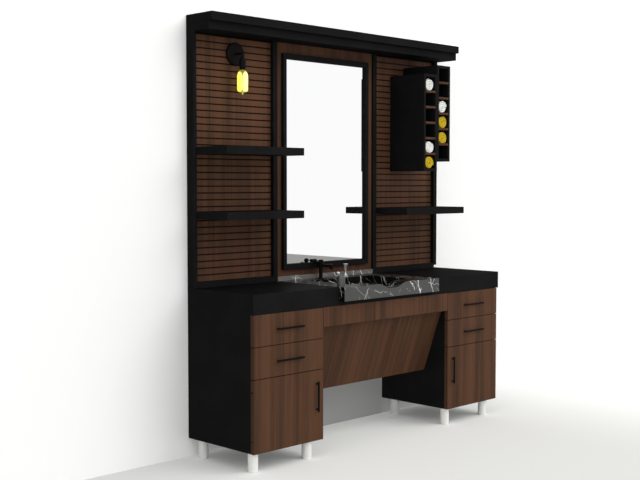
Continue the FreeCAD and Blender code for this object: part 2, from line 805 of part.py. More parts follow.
def drain_lift():
    """The knob on a rod that works the drain plug, and the deck ring that it slides in."""
    along, out, deck = lift_from_left, lift_out, worktop_height
    ring_top = deck + lift_ring
    ring = upright(along, out, deck, ring_top, lift_ring_radius)
    bore = upright(along, out, deck, ring_top, lift_rod_radius + running_gap)
    put("deck_sockets", ring.cut(bore))
    knob_low = ring_top + soft_gap
    shoulder = knob_low + lift_knob_height / 2
    top = knob_low + lift_knob_height
    rod_low = pedestal_top - lift_rod_below
    profile = [(0, rod_low), (lift_rod_radius, rod_low), (lift_rod_radius, knob_low),
               (lift_knob_radius * 0.7, knob_low), (lift_knob_radius, shoulder),
               (lift_knob_radius * 0.85, (shoulder + top) / 2), (lift_knob_radius * 0.5, top), (0, top)]
    put("lift_knob", turned(along, out, profile))


def hand_spray():
    along, out, deck = spray_from_left, spray_out, worktop_height
    socket_top = deck + spray_socket
    plug_low = deck - spray_plug_depth
    socket = upright(along, out, deck, socket_top, spray_socket_radius)
    bore = upright(along, out, plug_low, socket_top, spray_stem_radius + running_gap)
    put("deck_sockets", shank(along, out, pedestal_top, deck).fuse(socket).removeSplitter().cut(bore))
    collar_low = socket_top + soft_gap
    collar_radius = spray_stem_radius + spray_collar
    stem_low = plug_low + turning_gap
    stem_top = deck + spray_stem
    top = stem_top + spray_flare
    profile = [(0, stem_low), (spray_stem_radius, stem_low), (spray_stem_radius, collar_low),
               (collar_radius, collar_low), (collar_radius, collar_low + spray_collar),
               (spray_stem_radius, collar_low + 2 * spray_collar), (spray_stem_radius, stem_top),
               (spray_flare_radius * 0.55, stem_top + spray_flare / 2),
               (spray_flare_radius, top - spray_flare / 10), (spray_flare_radius, top), (0, top)]
    put("hand_spray", turned(along, out, profile))


def vacuum_breaker():
    """The domed cap that lets air into the spray's supply."""
    deck = worktop_height
    top = deck + breaker_height
    shoulder = top - breaker_dome
    stem_low = basin_under + support_gap
    profile = [(0, stem_low), (shank_radius, stem_low), (shank_radius, deck), (breaker_radius, deck),
               (breaker_radius, shoulder), (breaker_radius * 0.88, shoulder + breaker_dome * 0.5),
               (breaker_radius * 0.5, top - breaker_dome * 0.12), (0, top)]
    put("vacuum_breaker", turned(breaker_from_left, breaker_out, profile))


# ---- back wall ----

def shelf_list():
    """Bay start, bay width and top height of each shelf."""
    return ((left_bay_start, left_bay, upper_shelf_top), (left_bay_start, left_bay, lower_shelf_top),
            (right_bay_start, right_bay, lower_shelf_top))


def shelf_pins(radius, reach):
    pins = []
    for start, width, top in shelf_list():
        for along in (start + shelf_pin_inset, start + width - shelf_pin_inset):
            pins.append(outward(along, top - shelf_thickness / 2, 0, reach, radius))
    return pins


def rack_column(index):
    """Left side and underside of a column of the towel rack."""
    start = right_bay_start + rack_side_gap + index * rack_width
    return start, rack_bottom + index * rack_step


def cell_floor(bottom, cell):
    return bottom + rack_board + cell * (rack_cell + rack_shelf)


def rack_screw_places():
    places = []
    for index in range(2):
        start, bottom = rack_column(index)
        for cell in (0, rack_cell_count - 1):
            places.append((start + rack_width / 2, cell_floor(bottom, cell) + rack_cell / 2))
    return places


def rack_screw_holes():
    near = slat_face_out - rack_screw_reach
    far = slat_face_out + rack_back
    radius = rack_screw_radius + screw_gap
    return [outward(along, height, near, far, radius) for along, height in rack_screw_places()]


def back_wall():
    low, high = worktop_height, cornice_under
    put("wall_frame", block(0, left_post, 0, post_depth, low, high))
    put("wall_frame", block(centre_bay_start - middle_post, centre_bay_start, 0, post_depth, low, high))
    put("wall_frame", block(right_bay_start - middle_post, right_bay_start, 0, post_depth, low, high))
    put("wall_frame", block(right_bay_end, wall_end, 0, post_depth, low + right_post_lift, high))

    holes = shelf_pins(shelf_pin_radius + screw_gap, slat_face_out + shelf_pin_depth) + rack_screw_holes()
    bays = {"left": (left_bay_start, left_bay), "right": (right_bay_start, right_bay)}
    for side, (start, width) in bays.items():
        put("backing_boards", less(block(start, start + width, 0, board, low, high), holes))
        rail = block(start, start + width, board, post_depth, low, low + bottom_rail_height)
        if side == "right":
            tongue_end = right_bay_end + right_rail_tongue
            rail = rail.fuse(block(right_bay_end, tongue_end, 0, post_depth, low, low + right_post_lift))
        put("wall_frame", rail.removeSplitter())
        for index in range(slat_count):
            bottom = slat_bottom + index * slat_pitch
            slat = block(start, start + width, board, slat_face_out, bottom, bottom + slat_pitch)
            groove = block(start, start + width, slat_face_out - slat_groove_depth, slat_face_out,
                           bottom + slat_pitch - slat_groove, bottom + slat_pitch)
            near = [hole for hole in holes if slat.BoundBox.intersect(hole.BoundBox)]
            put(side + "_slats", less(slat, [groove] + near))

    centre_end = centre_bay_start + centre_bay
    put("backing_boards", block(centre_bay_start, centre_end, 0, board, low, high))
    panel_back = centre_face_out - board
    put("centre_panel", block(centre_bay_start, centre_end, panel_back, centre_face_out, low, high))
    step = (centre_bay - batten_width) / (batten_count - 1)
    for index in range(batten_count):
        start = centre_bay_start + index * step
        put("backing_boards", block(start, start + batten_width, board, panel_back, low, high))


def cornice():
    middle = overall_height - cornice_board
    put("cornice_upper", block(0, cornice_length, 0, cornice_upper_depth, middle, overall_height))
    put("cornice_lower", block(0, cornice_length, 0, cornice_lower_depth, cornice_under, middle))


def shelves():
    pin_end = slat_face_out + shelf_pin_depth
    holes = shelf_pins(shelf_pin_radius + screw_gap, pin_end)
    for start, width, top in shelf_list():
        shelf = block(start, start + width, slat_face_out, slat_face_out + shelf_depth,
                      top - shelf_thickness, top)
        put("shelves", less(shelf, holes))
    put("wall_fixings", *shelf_pins(shelf_pin_radius, pin_end - screw_gap))


# ---- mirror ----

def mirror():
    left, right = centre_bay_start + mirror_left_gap, centre_bay_start + centre_bay - mirror_right_gap
    low, high = worktop_height + mirror_above_worktop, cornice_under - mirror_below_cornice
    back, front = centre_face_out, centre_face_out + mirror_frame_depth
    glass_left = left + mirror_stile - mirror_rebate
    glass_right = right - mirror_stile + mirror_rebate
    glass_low = low + mirror_rail - mirror_rebate
    glass_high = high - mirror_rail + mirror_rebate
    gap = mirror_glass_gap
    rebate = block(glass_left - gap, glass_right + gap, back, back + mirror_glass,
                   glass_low - gap, glass_high + gap)
    inner_left, inner_right = left + mirror_stile, right - mirror_stile
    members = (block(left, inner_left, back, front, low, high),
               block(inner_right, right, back, front, low, high),
               block(inner_left, inner_right, back, front, low, low + mirror_rail),
               block(inner_left, inner_right, back, front, high - mirror_rail, high))
    put("mirror_frame", *[member.cut(rebate) for member in members])
    put("mirror_glass", block(glass_left, glass_right, back, back + mirror_glass, glass_low, glass_high))


# ---- towel rack ----

def towel_rack():
    back = slat_face_out
    front = back + rack_depth
    inside = back + rack_back
    for index in range(2):
        start, bottom = rack_column(index)
        end, top = start + rack_width, bottom + rack_height
        inner, outer = start + rack_board, end - rack_board
        put("towel_rack_case", block(start, inner, back, front, bottom, top))
        put("towel_rack_case", block(outer, end, back, front, bottom, top))
        put("towel_rack_case", block(inner, outer, back, front, bottom, bottom + rack_board))
        put("towel_rack_case", block(inner, outer, back, front, top - rack_board, top))
        panel = block(inner, outer, back, inside, bottom + rack_board, top - rack_board)
        put("towel_rack_case", less(panel, rack_screw_holes()))
        for cell in range(1, rack_cell_count):
            floor = cell_floor(bottom, cell)
            put("towel_rack_shelves", block(inner, outer, inside, front, floor - rack_shelf, floor))
    for along, middle in rack_screw_places():
        reach = slat_face_out - rack_screw_reach + screw_gap
        stem = outward(along, middle, reach, inside, rack_screw_radius)
        head = outward(along, middle, inside, inside + rack_screw_head, rack_screw_head_radius)
        put("wall_fixings", stem.fuse(head))


def towels(name, cells):
    front = slat_face_out + rack_depth - towel_setback
    back = slat_face_out + rack_back + towel_back_gap
    for index, cell in cells:
        start, bottom = rack_column(index)
        middle = cell_floor(bottom, cell) + soft_gap + towel_radius
        put(name, outward(start + rack_width / 2, middle, back, front, towel_radius))


# ---- lamp ----

def lamp():
    along = lamp_from_left
    plate_front = slat_face_out + lamp_plate
    axis_out = slat_face_out + lamp_reach
    socket_low = lamp_socket_top - lamp_socket_length
    plate = outward(along, lamp_plate_height, slat_face_out, plate_front, lamp_plate_radius)
    arm = outward(along, lamp_plate_height, plate_front, axis_out, lamp_arm_radius)
    elbow_start = FreeCAD.Vector(x_at(along - lamp_elbow_width / 2), y_at(axis_out), lamp_plate_height)
    elbow = Part.makeCylinder(lamp_elbow_radius, lamp_elbow_width, elbow_start, FreeCAD.Vector(1, 0, 0))
    drop = upright(along, axis_out, lamp_socket_top, lamp_plate_height, lamp_arm_radius)
    put("lamp_bracket", plate.fuse([arm, elbow, drop]).removeSplitter())

    socket = upright(along, axis_out, socket_low, lamp_socket_top, lamp_socket_radius)
    neck_top = socket_low + bulb_neck
    neck_hole = upright(along, axis_out, socket_low, neck_top, bulb_neck_radius + running_gap)
    put("lamp_socket", socket.cut(neck_hole))

    low = socket_low - bulb_length
    shoulder = socket_low - bulb_shoulder
    profile = [(0, low - bulb_pip), (bulb_pip_radius * 0.6, low - bulb_pip * 0.6), (bulb_pip_radius, low),
               (bulb_radius * 0.75, low + bulb_base_round * 0.2), (bulb_radius, low + bulb_base_round),
               (bulb_radius, shoulder), (bulb_radius * 0.8, (shoulder * 3 + socket_low * 2) / 5),
               (bulb_neck_radius, socket_low), (bulb_neck_radius, neck_top), (0, neck_top)]
    put("lamp_bulb", turned(along, axis_out, profile))


# ---- the whole station ----

for pedestal_side, pedestal_start in pedestals.items():
    pedestal(pedestal_start)
    legs(pedestal_start)
    for drawer_index in range(drawer_count):
        drawer(pedestal_side, pedestal_start, drawer_index)

door("left", 0.0, 0.0, 1)
door("right", right_pedestal, right_pedestal + pedestal_width, -1)
worktop()
apron()
service_panel()
basin()
drain()
trap()
mixer()
drain_lift()
hand_spray()
vacuum_breaker()
back_wall()
cornice()
shelves()
mirror()
towel_rack()
towels("white_towels", white_cells)
towels("yellow_towels", yellow_cells)
lamp()

os.makedirs("parts", exist_ok=True)
for part_name, solids in parts.items():
    whole = solids[0] if len(solids) == 1 else Part.makeCompound(solids)
    whole.exportStep("parts/" + part_name + ".step")
    print(part_name, len(whole.Solids), "solids", round(whole.Volume / 1000.0, 1), "cm3")
print(len(parts), "nodes")
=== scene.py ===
import bmesh
import bpy
import json
import math
import numpy as np
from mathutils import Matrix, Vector


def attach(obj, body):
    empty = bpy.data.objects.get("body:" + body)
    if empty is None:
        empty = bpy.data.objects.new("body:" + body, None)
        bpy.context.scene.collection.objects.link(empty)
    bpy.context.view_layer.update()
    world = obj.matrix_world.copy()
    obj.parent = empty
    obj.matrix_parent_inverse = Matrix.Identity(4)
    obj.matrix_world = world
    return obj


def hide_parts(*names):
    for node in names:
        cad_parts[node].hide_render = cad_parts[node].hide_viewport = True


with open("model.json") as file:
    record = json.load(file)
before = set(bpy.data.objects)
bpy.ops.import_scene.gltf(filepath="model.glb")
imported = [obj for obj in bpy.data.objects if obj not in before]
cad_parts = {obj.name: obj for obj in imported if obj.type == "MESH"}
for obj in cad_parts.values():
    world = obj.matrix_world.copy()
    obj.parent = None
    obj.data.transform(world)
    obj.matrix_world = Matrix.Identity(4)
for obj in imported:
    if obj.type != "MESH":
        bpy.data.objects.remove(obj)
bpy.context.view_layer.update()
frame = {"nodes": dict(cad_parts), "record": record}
cadNodes = frame["nodes"]
print("salon station: frame loaded,", len(cadNodes), "nodes")


class Wire:
    # one socket of a node tree, so that shader values read as ordinary sums
    def __init__(self, paint, socket):
        self.paint = paint
        self.socket = socket

    def maths(self, operation, first, second):
        return self.paint.add("ShaderNodeMath", {"operation": operation}, {0: first, 1: second})

    def __add__(self, other):
        return self.maths("ADD", self, other)

    def __sub__(self, other):
        return self.maths("SUBTRACT", self, other)

    def __rsub__(self, other):
        return self.maths("SUBTRACT", other, self)

    def __mul__(self, other):
        return self.maths("MULTIPLY", self, other)

    def __truediv__(self, other):
        return self.maths("DIVIDE", self, other)

    def __rtruediv__(self, other):
        return self.maths("DIVIDE", other, self)

    __radd__ = __add__
    __rmul__ = __mul__

    def step(self, low, high):
        # rises smoothly from 0 at low to 1 at high, and falls where low is above high
        start, end = (0.0, 1.0) if low <= high else (1.0, 0.0)
        sockets = {0: self, 1: min(low, high), 2: max(low, high), 3: start, 4: end}
        return self.paint.add("ShaderNodeMapRange", {"interpolation_type": "SMOOTHSTEP"}, sockets)

    def twin(self, output):
        # another output of the same node
        return Wire(self.paint, self.socket.node.outputs[output])


class Paint:
    # a node tree under construction, a material's own or the world's
    def __init__(self, name, owner=None):
        self.owner = owner or bpy.data.materials.new(name)
        self.owner.use_nodes = True
        self.tree = self.owner.node_tree
        self.tree.nodes.clear()

    def add(self, kind, settings, sockets, out=0):
        node = self.tree.nodes.new(kind)
        for key, value in settings.items():
            setattr(node, key, value)
        for key, value in sockets.items():
            if isinstance(value, Wire):
                self.tree.links.new(value.socket, node.inputs[key])
            else:
                node.inputs[key].default_value = value
        return Wire(self, node.outputs[out])

    def where(self, source="Object", axis=0):
        # one axis of the place or the direction that is shaded
        here = self.add("ShaderNodeTexCoord", {}, {}, source)
        return self.add("ShaderNodeSeparateXYZ", {}, {0: here}, axis)

    def place(self, scale=(1, 1, 1), turn=(0, 0, 0), shift=(0, 0, 0)):
        here = self.add("ShaderNodeTexCoord", {}, {}, "Object")
        sockets = {"Vector": here, "Scale": scale, "Rotation": turn, "Location": shift}
        return self.add("ShaderNodeMapping", {}, sockets)

    def noise(self, place, scale, detail, roughness=0.55, bend=0.0):
        return self.add("ShaderNodeTexNoise", {}, {"Vector": place, "Scale": scale, "Detail": detail,
                                                   "Roughness": roughness, "Distortion": bend})

    def attribute(self, name):
        return self.add("ShaderNodeAttribute", {"attribute_name": name}, {}, "Fac")

    def mix(self, share, first, second):
        # colours only
        return self.add("ShaderNodeMix", {"data_type": "RGBA"}, {0: share, 6: first, 7: second}, 2)

    def facing(self, axis):
        # how far the surface looks along an axis, from -1 to 1
        outward = self.add("ShaderNodeNewGeometry", {}, {}, "Normal")
        return self.add("ShaderNodeSeparateXYZ", {}, {"Vector": outward}, axis)

    def bump(self, height, distance, strength):
        return self.add("ShaderNodeBump", {}, {"Height": height, "Distance": distance, "Strength": strength})

    def finish(self, **sockets):
        named = {key.replace("_", " "): value for key, value in sockets.items()}
        return self.output(self.add("ShaderNodeBsdfPrincipled", {}, named))

    def output(self, shader, kind="ShaderNodeOutputMaterial"):
        end = self.tree.nodes.new(kind)
        self.tree.links.new(shader.socket, end.inputs["Surface"])
        return self.owner


def tone(red, green, blue):
    # a colour picked on screen, as the linear values that the shader takes
    level = [v / 255 for v in (red, green, blue)]
    return tuple(v / 12.92 if v <= 0.04045 else ((v + 0.055) / 1.055) ** 2.4 for v in level) + (1.0,)


# top is the painted shade of the faces that look up
blackBoardLook = {"face": tone(23, 23, 24), "patch": tone(27, 27, 27), "edge": tone(40, 39, 39),
                  "top": tone(8, 8, 8), "gloss": 0.04, "rough": 0.62, "patchScale": 7.0,
                  "speckScale": 900.0, "speckDepth": 0.00006, "rubScale": 38.0}


def blackBoard():
    # faces that look up are painted a shade deeper, a painted shade for light that falls from the front more
    # than from above, and the edges are rubbed paler in places
    look = blackBoardLook
    p = Paint("blackBoard")
    cloud = p.noise(p.place(), look["patchScale"], 4.0)
    speck = p.noise(p.place(), look["speckScale"], 2.0)
    colour = p.mix(cloud.step(0.35, 0.7), look["face"], look["patch"])
    # painted shade: faces that look up are darker
    colour = p.mix(p.facing("Z").step(0.55, 0.9) * (speck * 0.2 + 0.75), colour, look["top"])
    rubbed = p.attribute("wear") * p.noise(p.place(), look["rubScale"], 3.0).step(0.4, 0.62)
    colour = p.mix(rubbed * 0.5, colour, look["edge"])
    return p.finish(Base_Color=colour, Roughness=look["rough"] + cloud * 0.08 + speck * 0.05,
                    Specular_IOR_Level=look["gloss"], Normal=p.bump(speck, look["speckDepth"], 0.6))


# tones are tuples; the grain entries are lists of the scales across and along the boards
walnutLook = {"dark": tone(73, 51, 38), "middle": tone(90, 62, 45), "red": tone(102, 66, 46),
              # groove is the painted shade in the grooves between slats
              "line": tone(56, 36, 25), "edge": tone(110, 76, 54), "groove": tone(17, 7, 4),
              # band is the painted shade on the upper and lower edges of the fronts, in the gaps between them
              "band": tone(26, 15, 9), "gloss": 0.08, "rough": 0.5, "broadGrain": [11, 0.35],
              "streakGrain": [40, 0.8], "fineGrain": [420, 7], "poreDepth": 0.00012}


def walnut(name, lean=0.0, pale=1.0, shadedEdges=False):
    # lean turns the grain about the station's length, for the sloping panel; pale lightens every tone of the
    # wood;
    # a front with shaded edges has painted shade on its upper and lower edge, for the gaps between fronts
    look = {key: tuple(v * pale for v in tint) if isinstance(tint, tuple) else tint
            for key, tint in walnutLook.items()}
    p = Paint(name)
    here = p.place(turn=(lean, 0, 0))

    def grain(scales, shift=(0, 0, 0)):
        across, down = scales
        sockets = {"Vector": here, "Scale": (across, across, down), "Location": shift}
        return p.add("ShaderNodeMapping", {}, sockets)

    broad = p.noise(grain(look["broadGrain"]), 1.0, 3.0, 0.55, 0.4)
    streak = p.noise(grain(look["streakGrain"], (3, 1, 2)), 1.0, 3.0, 0.5, 0.2)
    fine = p.noise(grain(look["fineGrain"]), 1.0, 2.0, 0.6)
    colour = p.mix(broad.step(0.36, 0.62), look["dark"], look["middle"])
    colour = p.mix(streak.step(0.48, 0.72) * 0.55, colour, look["red"])
    colour = p.mix(streak.step(0.46, 0.3) * 0.36, colour, look["line"])
    colour = p.mix(fine.step(0.52, 0.7) * 0.34, colour, look["line"])
    colour = p.mix(p.attribute("wear") * 0.35, colour, look["edge"])
    # painted shade in the grooves between slats and over the rounded lips beside them
    colour = p.mix(p.attribute("groove"), colour, look["groove"])
    if shadedEdges:
        # painted shade on the faces that look up and down, in the gaps between the fronts
        edge = p.add("ShaderNodeMath", {"operation": "ABSOLUTE"}, {0: p.facing("Z")}).step(0.25, 0.6)
        colour = p.mix(edge * (fine * 0.2 + 0.8), colour, look["band"])
    pores = p.bump(1 - fine.step(0.5, 0.75), look["poreDepth"], 0.5)
    return p.finish(Base_Color=colour, Roughness=look["rough"] + fine * 0.12,
                    Specular_IOR_Level=look["gloss"], Normal=pores)


# each set of veins: scale, tilt, turn, how far it wanders, how wide it is, and how rare its patches are
marbleLook = {"ground": tone(12, 13, 12), "green": tone(15, 23, 17), "red": tone(30, 15, 15),
              "vein": tone(232, 232, 228), "gloss": 0.05, "rough": 0.3, "coat": 0.2, "coatRough": 0.06,
              "patchScale": 9.0,
              "veins": ((2.6, 0.25, 0.75, 1.6, 0.0012, 0.46), (3.2, -0.5, -0.55, 1.3, 0.0010, 0.47),
                        (4.0, 0.6, 1.25, 1.5, 0.0009, 0.49), (2.2, -0.3, 2.35, 1.2, 0.0016, 0.50),
                        (5.1, 1.0, 0.2, 1.1, 0.0007, 0.49), (3.6, 0.15, -1.2, 1.4, 0.0009, 0.49),
                        (4.4, 1.35, 0.9, 1.8, 0.0009, 0.47))}


def marble(name, haze=None, more=0.0):
    # each set of veins is the crests of wandering bands, kept in patches and tapering out where a patch ends;
    # a haze, where one is given, is a painted sheen, a painted reflection of the light in front, over the
    # faces that look to the front; more widens the patches
    look = marbleLook
    p = Paint(name)
    cloud = p.noise(p.place(), 6.0, 3.0)
    tint = p.noise(p.place(shift=(5, 2, 1)), 9.0, 3.0)
    colour = p.mix(cloud.step(0.45, 0.62), look["ground"], look["green"])
    colour = p.mix(tint.step(0.55, 0.68) * 0.8, colour, look["red"])
    if haze:
        # painted reflection: a pale sheen over the faces that look to the front
        colour = p.mix(p.facing("Y").step(-0.65, -0.8) * (cloud * 0.2 + 0.86), colour, haze)
    veins = None
    for scale, tilt, turn, wander, wide, patch in look["veins"]:
        sockets = {"Vector": p.place(turn=(0, tilt, turn)), "Scale": scale, "Distortion": wander,
                   "Detail": 3.0, "Detail Scale": 3.0, "Detail Roughness": 0.5}
        band = p.add("ShaderNodeTexWave", {"wave_type": "BANDS"}, sockets, "Fac")
        patches = p.noise(p.place(turn=(0, 0, turn), shift=(0, turn, 3)), look["patchScale"], 2.0)
        here = patches.step(patch - more, patch - more + 0.12)
        line = (here - (1 - band) / wide).step(0.0, 0.5) * (here * 0.6 + 0.4)
        veins = line if veins is None else veins + line - veins * line
    colour = p.mix(veins, colour, look["vein"])
    return p.finish(Base_Color=colour, Roughness=look["rough"] + veins * 0.1, Coat_Weight=look["coat"],
                    Coat_Roughness=look["coatRough"], Specular_IOR_Level=look["gloss"])


def metal(name, colour, shade, rough, spread, metallic=1.0, gloss=0.5):
    # cast or brushed metal: two tones and a roughness that wander together, over fine marks
    p = Paint(name)
    cloud = p.noise(p.place(), 14.0, 3.0)
    brush = p.noise(p.place((90, 90, 90)), 6.0, 3.0)
    return p.finish(Base_Color=p.mix(cloud * 0.6 + brush * 0.4, colour, shade), Metallic=metallic,
                    Roughness=rough + (cloud * 0.5 + brush * 0.5) * spread, Specular_IOR_Level=gloss,
                    Normal=p.bump(brush, 0.00003, 0.4))


def mirrorSilver():
    p = Paint("mirrorSilver")
    haze = p.noise(p.place(), 3.0, 2.0)
    return p.finish(Base_Color=p.mix(haze, (0.95, 0.95, 0.95, 1), (0.97, 0.975, 0.975, 1)), Metallic=1.0,
                    Roughness=haze.step(0.5, 0.9) * 0.01)


def terry(name, face, deep, shade):
    # looped pile, darker between the loops, with painted shade in the folds between layers
    p = Paint(name)
    loops = p.noise(p.place(), 620.0, 2.0)
    soft = p.noise(p.place(), 60.0, 3.0)
    colour = p.mix(loops.step(0.3, 0.65), deep, face)
    # painted shade in the folds between the rolled layers
    colour = p.mix(p.attribute("fold"), colour, shade)
    return p.finish(Base_Color=colour, Roughness=0.9 + soft * 0.08, Sheen_Weight=0.25,
                    Specular_IOR_Level=0.15, Normal=p.bump(loops * 0.7 + soft * 0.5, 0.0015, 0.7))


def plainPaint(name, face, patch, rough):
    # plain board or moulded plastic: two close tones over a fine grit
    p = Paint(name)
    cloud = p.noise(p.place(), 25.0, 4.0)
    grit = p.noise(p.place(), 700.0, 2.0)
    return p.finish(Base_Color=p.mix(cloud.step(0.3, 0.7), face, patch), Roughness=rough + grit * 0.08,
                    Specular_IOR_Level=0.4, Normal=p.bump(grit, 0.00004, 0.5))


bulbLook = {"loop": (tone(240, 236, 60), tone(255, 255, 120)), "loopPale": tone(252, 252, 200),
            "loopGlow": 0.85, "glass": (tone(236, 226, 60), tone(250, 248, 140)), "glassGlow": 0.65,
            "thinnest": 0.16}


def bulbGlow():
    # lit loops, one of them paler
    p = Paint("litFilament")
    swirl = p.noise(p.place((1, 1, 0.4)), 60.0, 3.0)
    colour = p.mix(swirl.step(0.35, 0.65), *bulbLook["loop"])
    colour = p.mix(p.attribute("pale") * (0.4 + swirl * 0.5), colour, bulbLook["loopPale"])
    return p.finish(Base_Color=colour, Roughness=0.3 + swirl * 0.05, Emission_Color=colour,
                    Emission_Strength=bulbLook["loopGlow"])


def bulbGlass():
    # thin amber glass that lets the loops behind it show
    p = Paint("amberGlass")
    swirl = p.noise(p.place((1, 1, 0.3)), 45.0, 3.0)
    colour = p.mix(swirl.step(0.35, 0.65), *bulbLook["glass"])
    return p.finish(Base_Color=colour, Roughness=0.08 + swirl * 0.05, Emission_Color=colour,
                    Alpha=bulbLook["thinnest"] + swirl * 0.14, Emission_Strength=bulbLook["glassGlow"])


finishes = {
    "black_board": blackBoard(),
    "walnut": walnut("walnut"),
    "drawer_board": plainPaint("birchPly", tone(205, 178, 140), tone(188, 158, 118), 0.5),
    "black_metal": metal("blackMetal", tone(13, 10, 10), tone(20, 16, 15), 0.42, 0.12, 0.0, 0.08),
    "steel": metal("zincSteel", tone(185, 188, 194), tone(150, 154, 160), 0.3, 0.2),
    "satin_aluminium": metal("satinAluminium", tone(254, 254, 251), tone(247, 247, 243), 0.4, 0.12, 0.05),
    "marble": marble("blackMarble", more=0.01),
    "chrome": metal("chrome", tone(246, 247, 248), tone(230, 232, 235), 0.16, 0.1, 0.7),
    "satin_steel": metal("satinSteel", tone(120, 122, 117), tone(92, 95, 91), 0.42, 0.15, 0.8),
    "white_plastic": plainPaint("wastePlastic", tone(225, 225, 222), tone(212, 212, 208), 0.42),
    "mirror": mirrorSilver(),
    "white_towel": terry("whiteTerry", tone(254, 254, 252), tone(245, 245, 242), tone(126, 125, 123)),
    "yellow_towel": terry("yellowTerry", tone(228, 200, 20), tone(196, 164, 10), tone(94, 71, 4)),
    "lamp_glass": bulbGlow(),
}
nodeSlot = {part["node"]: part["material_slot"] for part in frame["record"]["subparts"]}
for name, thing in cadNodes.items():
    thing.data.materials.clear()
    thing.data.materials.append(finishes[nodeSlot[name]])
# the rim and the upstand carry a painted sheen on their front faces, a painted reflection
rimMarblePaintedSheen = marble("rimMarblePaintedSheen", tone(84, 85, 84))
upstandMarblePaintedSheen = marble("upstandMarblePaintedSheen", tone(116, 114, 111))
bulbShell = bulbGlass()
hingeSteel = metal("bronzedSteel", tone(44, 40, 38), tone(30, 27, 26), 0.4, 0.15)
cadNodes["door_hinges"].data.materials[0] = hingeSteel
print("finishes made and given to the nodes")


leftEnd, wallFace = -0.968, 0.265


def span(fromLeft, toLeft, outNear, outFar, low, high):
    # a board's lowest and highest corner, from millimetres along from the left end, out from the wall and up
    return ((leftEnd + fromLeft / 1000, wallFace - outFar / 1000, low / 1000),
            (leftEnd + toLeft / 1000, wallFace - outNear / 1000, high / 1000))


def spot(fromLeft, out, up):
    # a point, from the same millimetres as a board's corner
    return np.array([leftEnd + fromLeft / 1000, wallFace - out / 1000, up / 1000])


def putInScene(name, data):
    thing = bpy.data.objects.new(name, data)
    bpy.context.scene.collection.objects.link(thing)
    return thing


def dressed(name, mesh, finish, node, body, sharp):
    # a piece in one finish, smooth but for edges sharper than an angle, that stands for a CAD node
    mesh.materials.clear()
    mesh.materials.append(finishes[finish] if isinstance(finish, str) else finish)
    mesh.polygons.foreach_set("use_smooth", np.ones(len(mesh.polygons), bool))
    mesh.set_sharp_from_angle(angle=math.radians(sharp))
    thing = putInScene(name, mesh)
    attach(thing, body)
    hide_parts(node)
    return thing


def newPiece(name, points, faces, finish, node, body="station", sharp=50.0, **marks):
    # marks are values at each point that the finish reads, such as wear
    mesh = bpy.data.meshes.new(name)
    mesh.from_pydata(points.tolist(), [], faces)
    for mark, values in marks.items():
        layer = mesh.attributes.new(mark, "FLOAT", "POINT")
        layer.data.foreach_set("value", np.asarray(values, np.float32))
    return dressed(name, mesh, finish, node, body, sharp)


def easedCopy(name, node, finish, ease, body="station", steps=2):
    # a CAD piece with its edges rounded: its triangles are merged into whole faces first, and a bevel follows
    mesh = cadNodes[node].data.copy()
    mesh.name = name
    work = bmesh.new()
    work.from_mesh(mesh)
    bmesh.ops.remove_doubles(work, verts=work.verts, dist=1e-6)
    bmesh.ops.dissolve_limit(work, angle_limit=math.radians(0.5), verts=work.verts, edges=work.edges)
    work.to_mesh(mesh)
    work.free()
    rounding = dressed(name, mesh, finish, node, body, 30).modifiers.new("easedEdges", "BEVEL")
    rounding.width = ease / 1000
    rounding.segments = steps
    rounding.limit_method = "ANGLE"
    rounding.angle_limit = math.radians(50)
    rounding.harden_normals = True


def ringQuads(index, backward=False):
    # quads between each ring of point numbers and the next, every ring closed to its own start
    near, far = index[..., :-1, :], index[..., 1:, :]
    quads = np.stack([near, far, np.roll(far, -1, -1), np.roll(near, -1, -1)], -1).reshape(-1, 4)
    return quads[:, [0, 3, 2, 1]] if backward else quads


def distinct(faces):
    # faces without repeated points, as where a ring closes on a pole
    return [list(dict.fromkeys(face)) for face in np.asarray(faces).tolist()]


def joined(*surfaces):
    # several surfaces as one, each one's point numbers moved on past those before it
    points, faces, start = [], [], 0
    for some, theirs in surfaces:
        points.append(some)
        faces += [[v + start for v in face] for face in theirs]
        start += len(some)
    return np.vstack(points), faces


def boxPattern(ease, lip):
    # an eased box in signs and insets: every point is centre + sign * (half size - inset) on each axis.
    # rings run from one end to the other, and each ring is a rectangle with three-point corners
    # and a second point lip further in, so that wear marks stay on the edges
    rim = ease * (1 - math.sqrt(0.5))
    halfRings = [(0.0, ease + lip), (0.0, ease), (rim, rim), (ease, 0.0), (ease + lip, 0.0)]
    ends = [(-1, *ring) for ring in halfRings] + [(1, *ring) for ring in reversed(halfRings)]
    turns = np.radians([0, 45, 90])
    rings = []
    for end, down, inward in ends:
        reach = max(ease - inward, 0.0)
        arc = np.stack([ease - reach * np.cos(turns), ease - reach * np.sin(turns)], 1)
        flat = max(inward, ease + lip)
        corner = np.vstack([[inward, flat], np.maximum(arc, inward), [flat, inward]])
        corners = np.vstack([corner, corner[::-1], corner, corner[::-1]])
        quarters = np.repeat([(1, 1, end), (-1, 1, end), (-1, -1, end), (1, -1, end)], len(corner), axis=0)
        rings.append(np.column_stack([quarters, corners, np.full(len(corners), down)]))
    keys = np.round(np.vstack(rings), 7)
    unique, place = np.unique(keys, axis=0, return_inverse=True)
    index = place.reshape(len(rings), -1)
    faces = [face for face in distinct(ringQuads(index, True)) if len(face) > 2]
    faces += distinct([index[0][::-1], index[-1]])
    signs, insets = unique[:, :3], unique[:, 3:]
    wear = (np.sum(insets < ease + lip - 1e-6, axis=1) >= 2).astype(float)
    return signs, insets, faces, wear


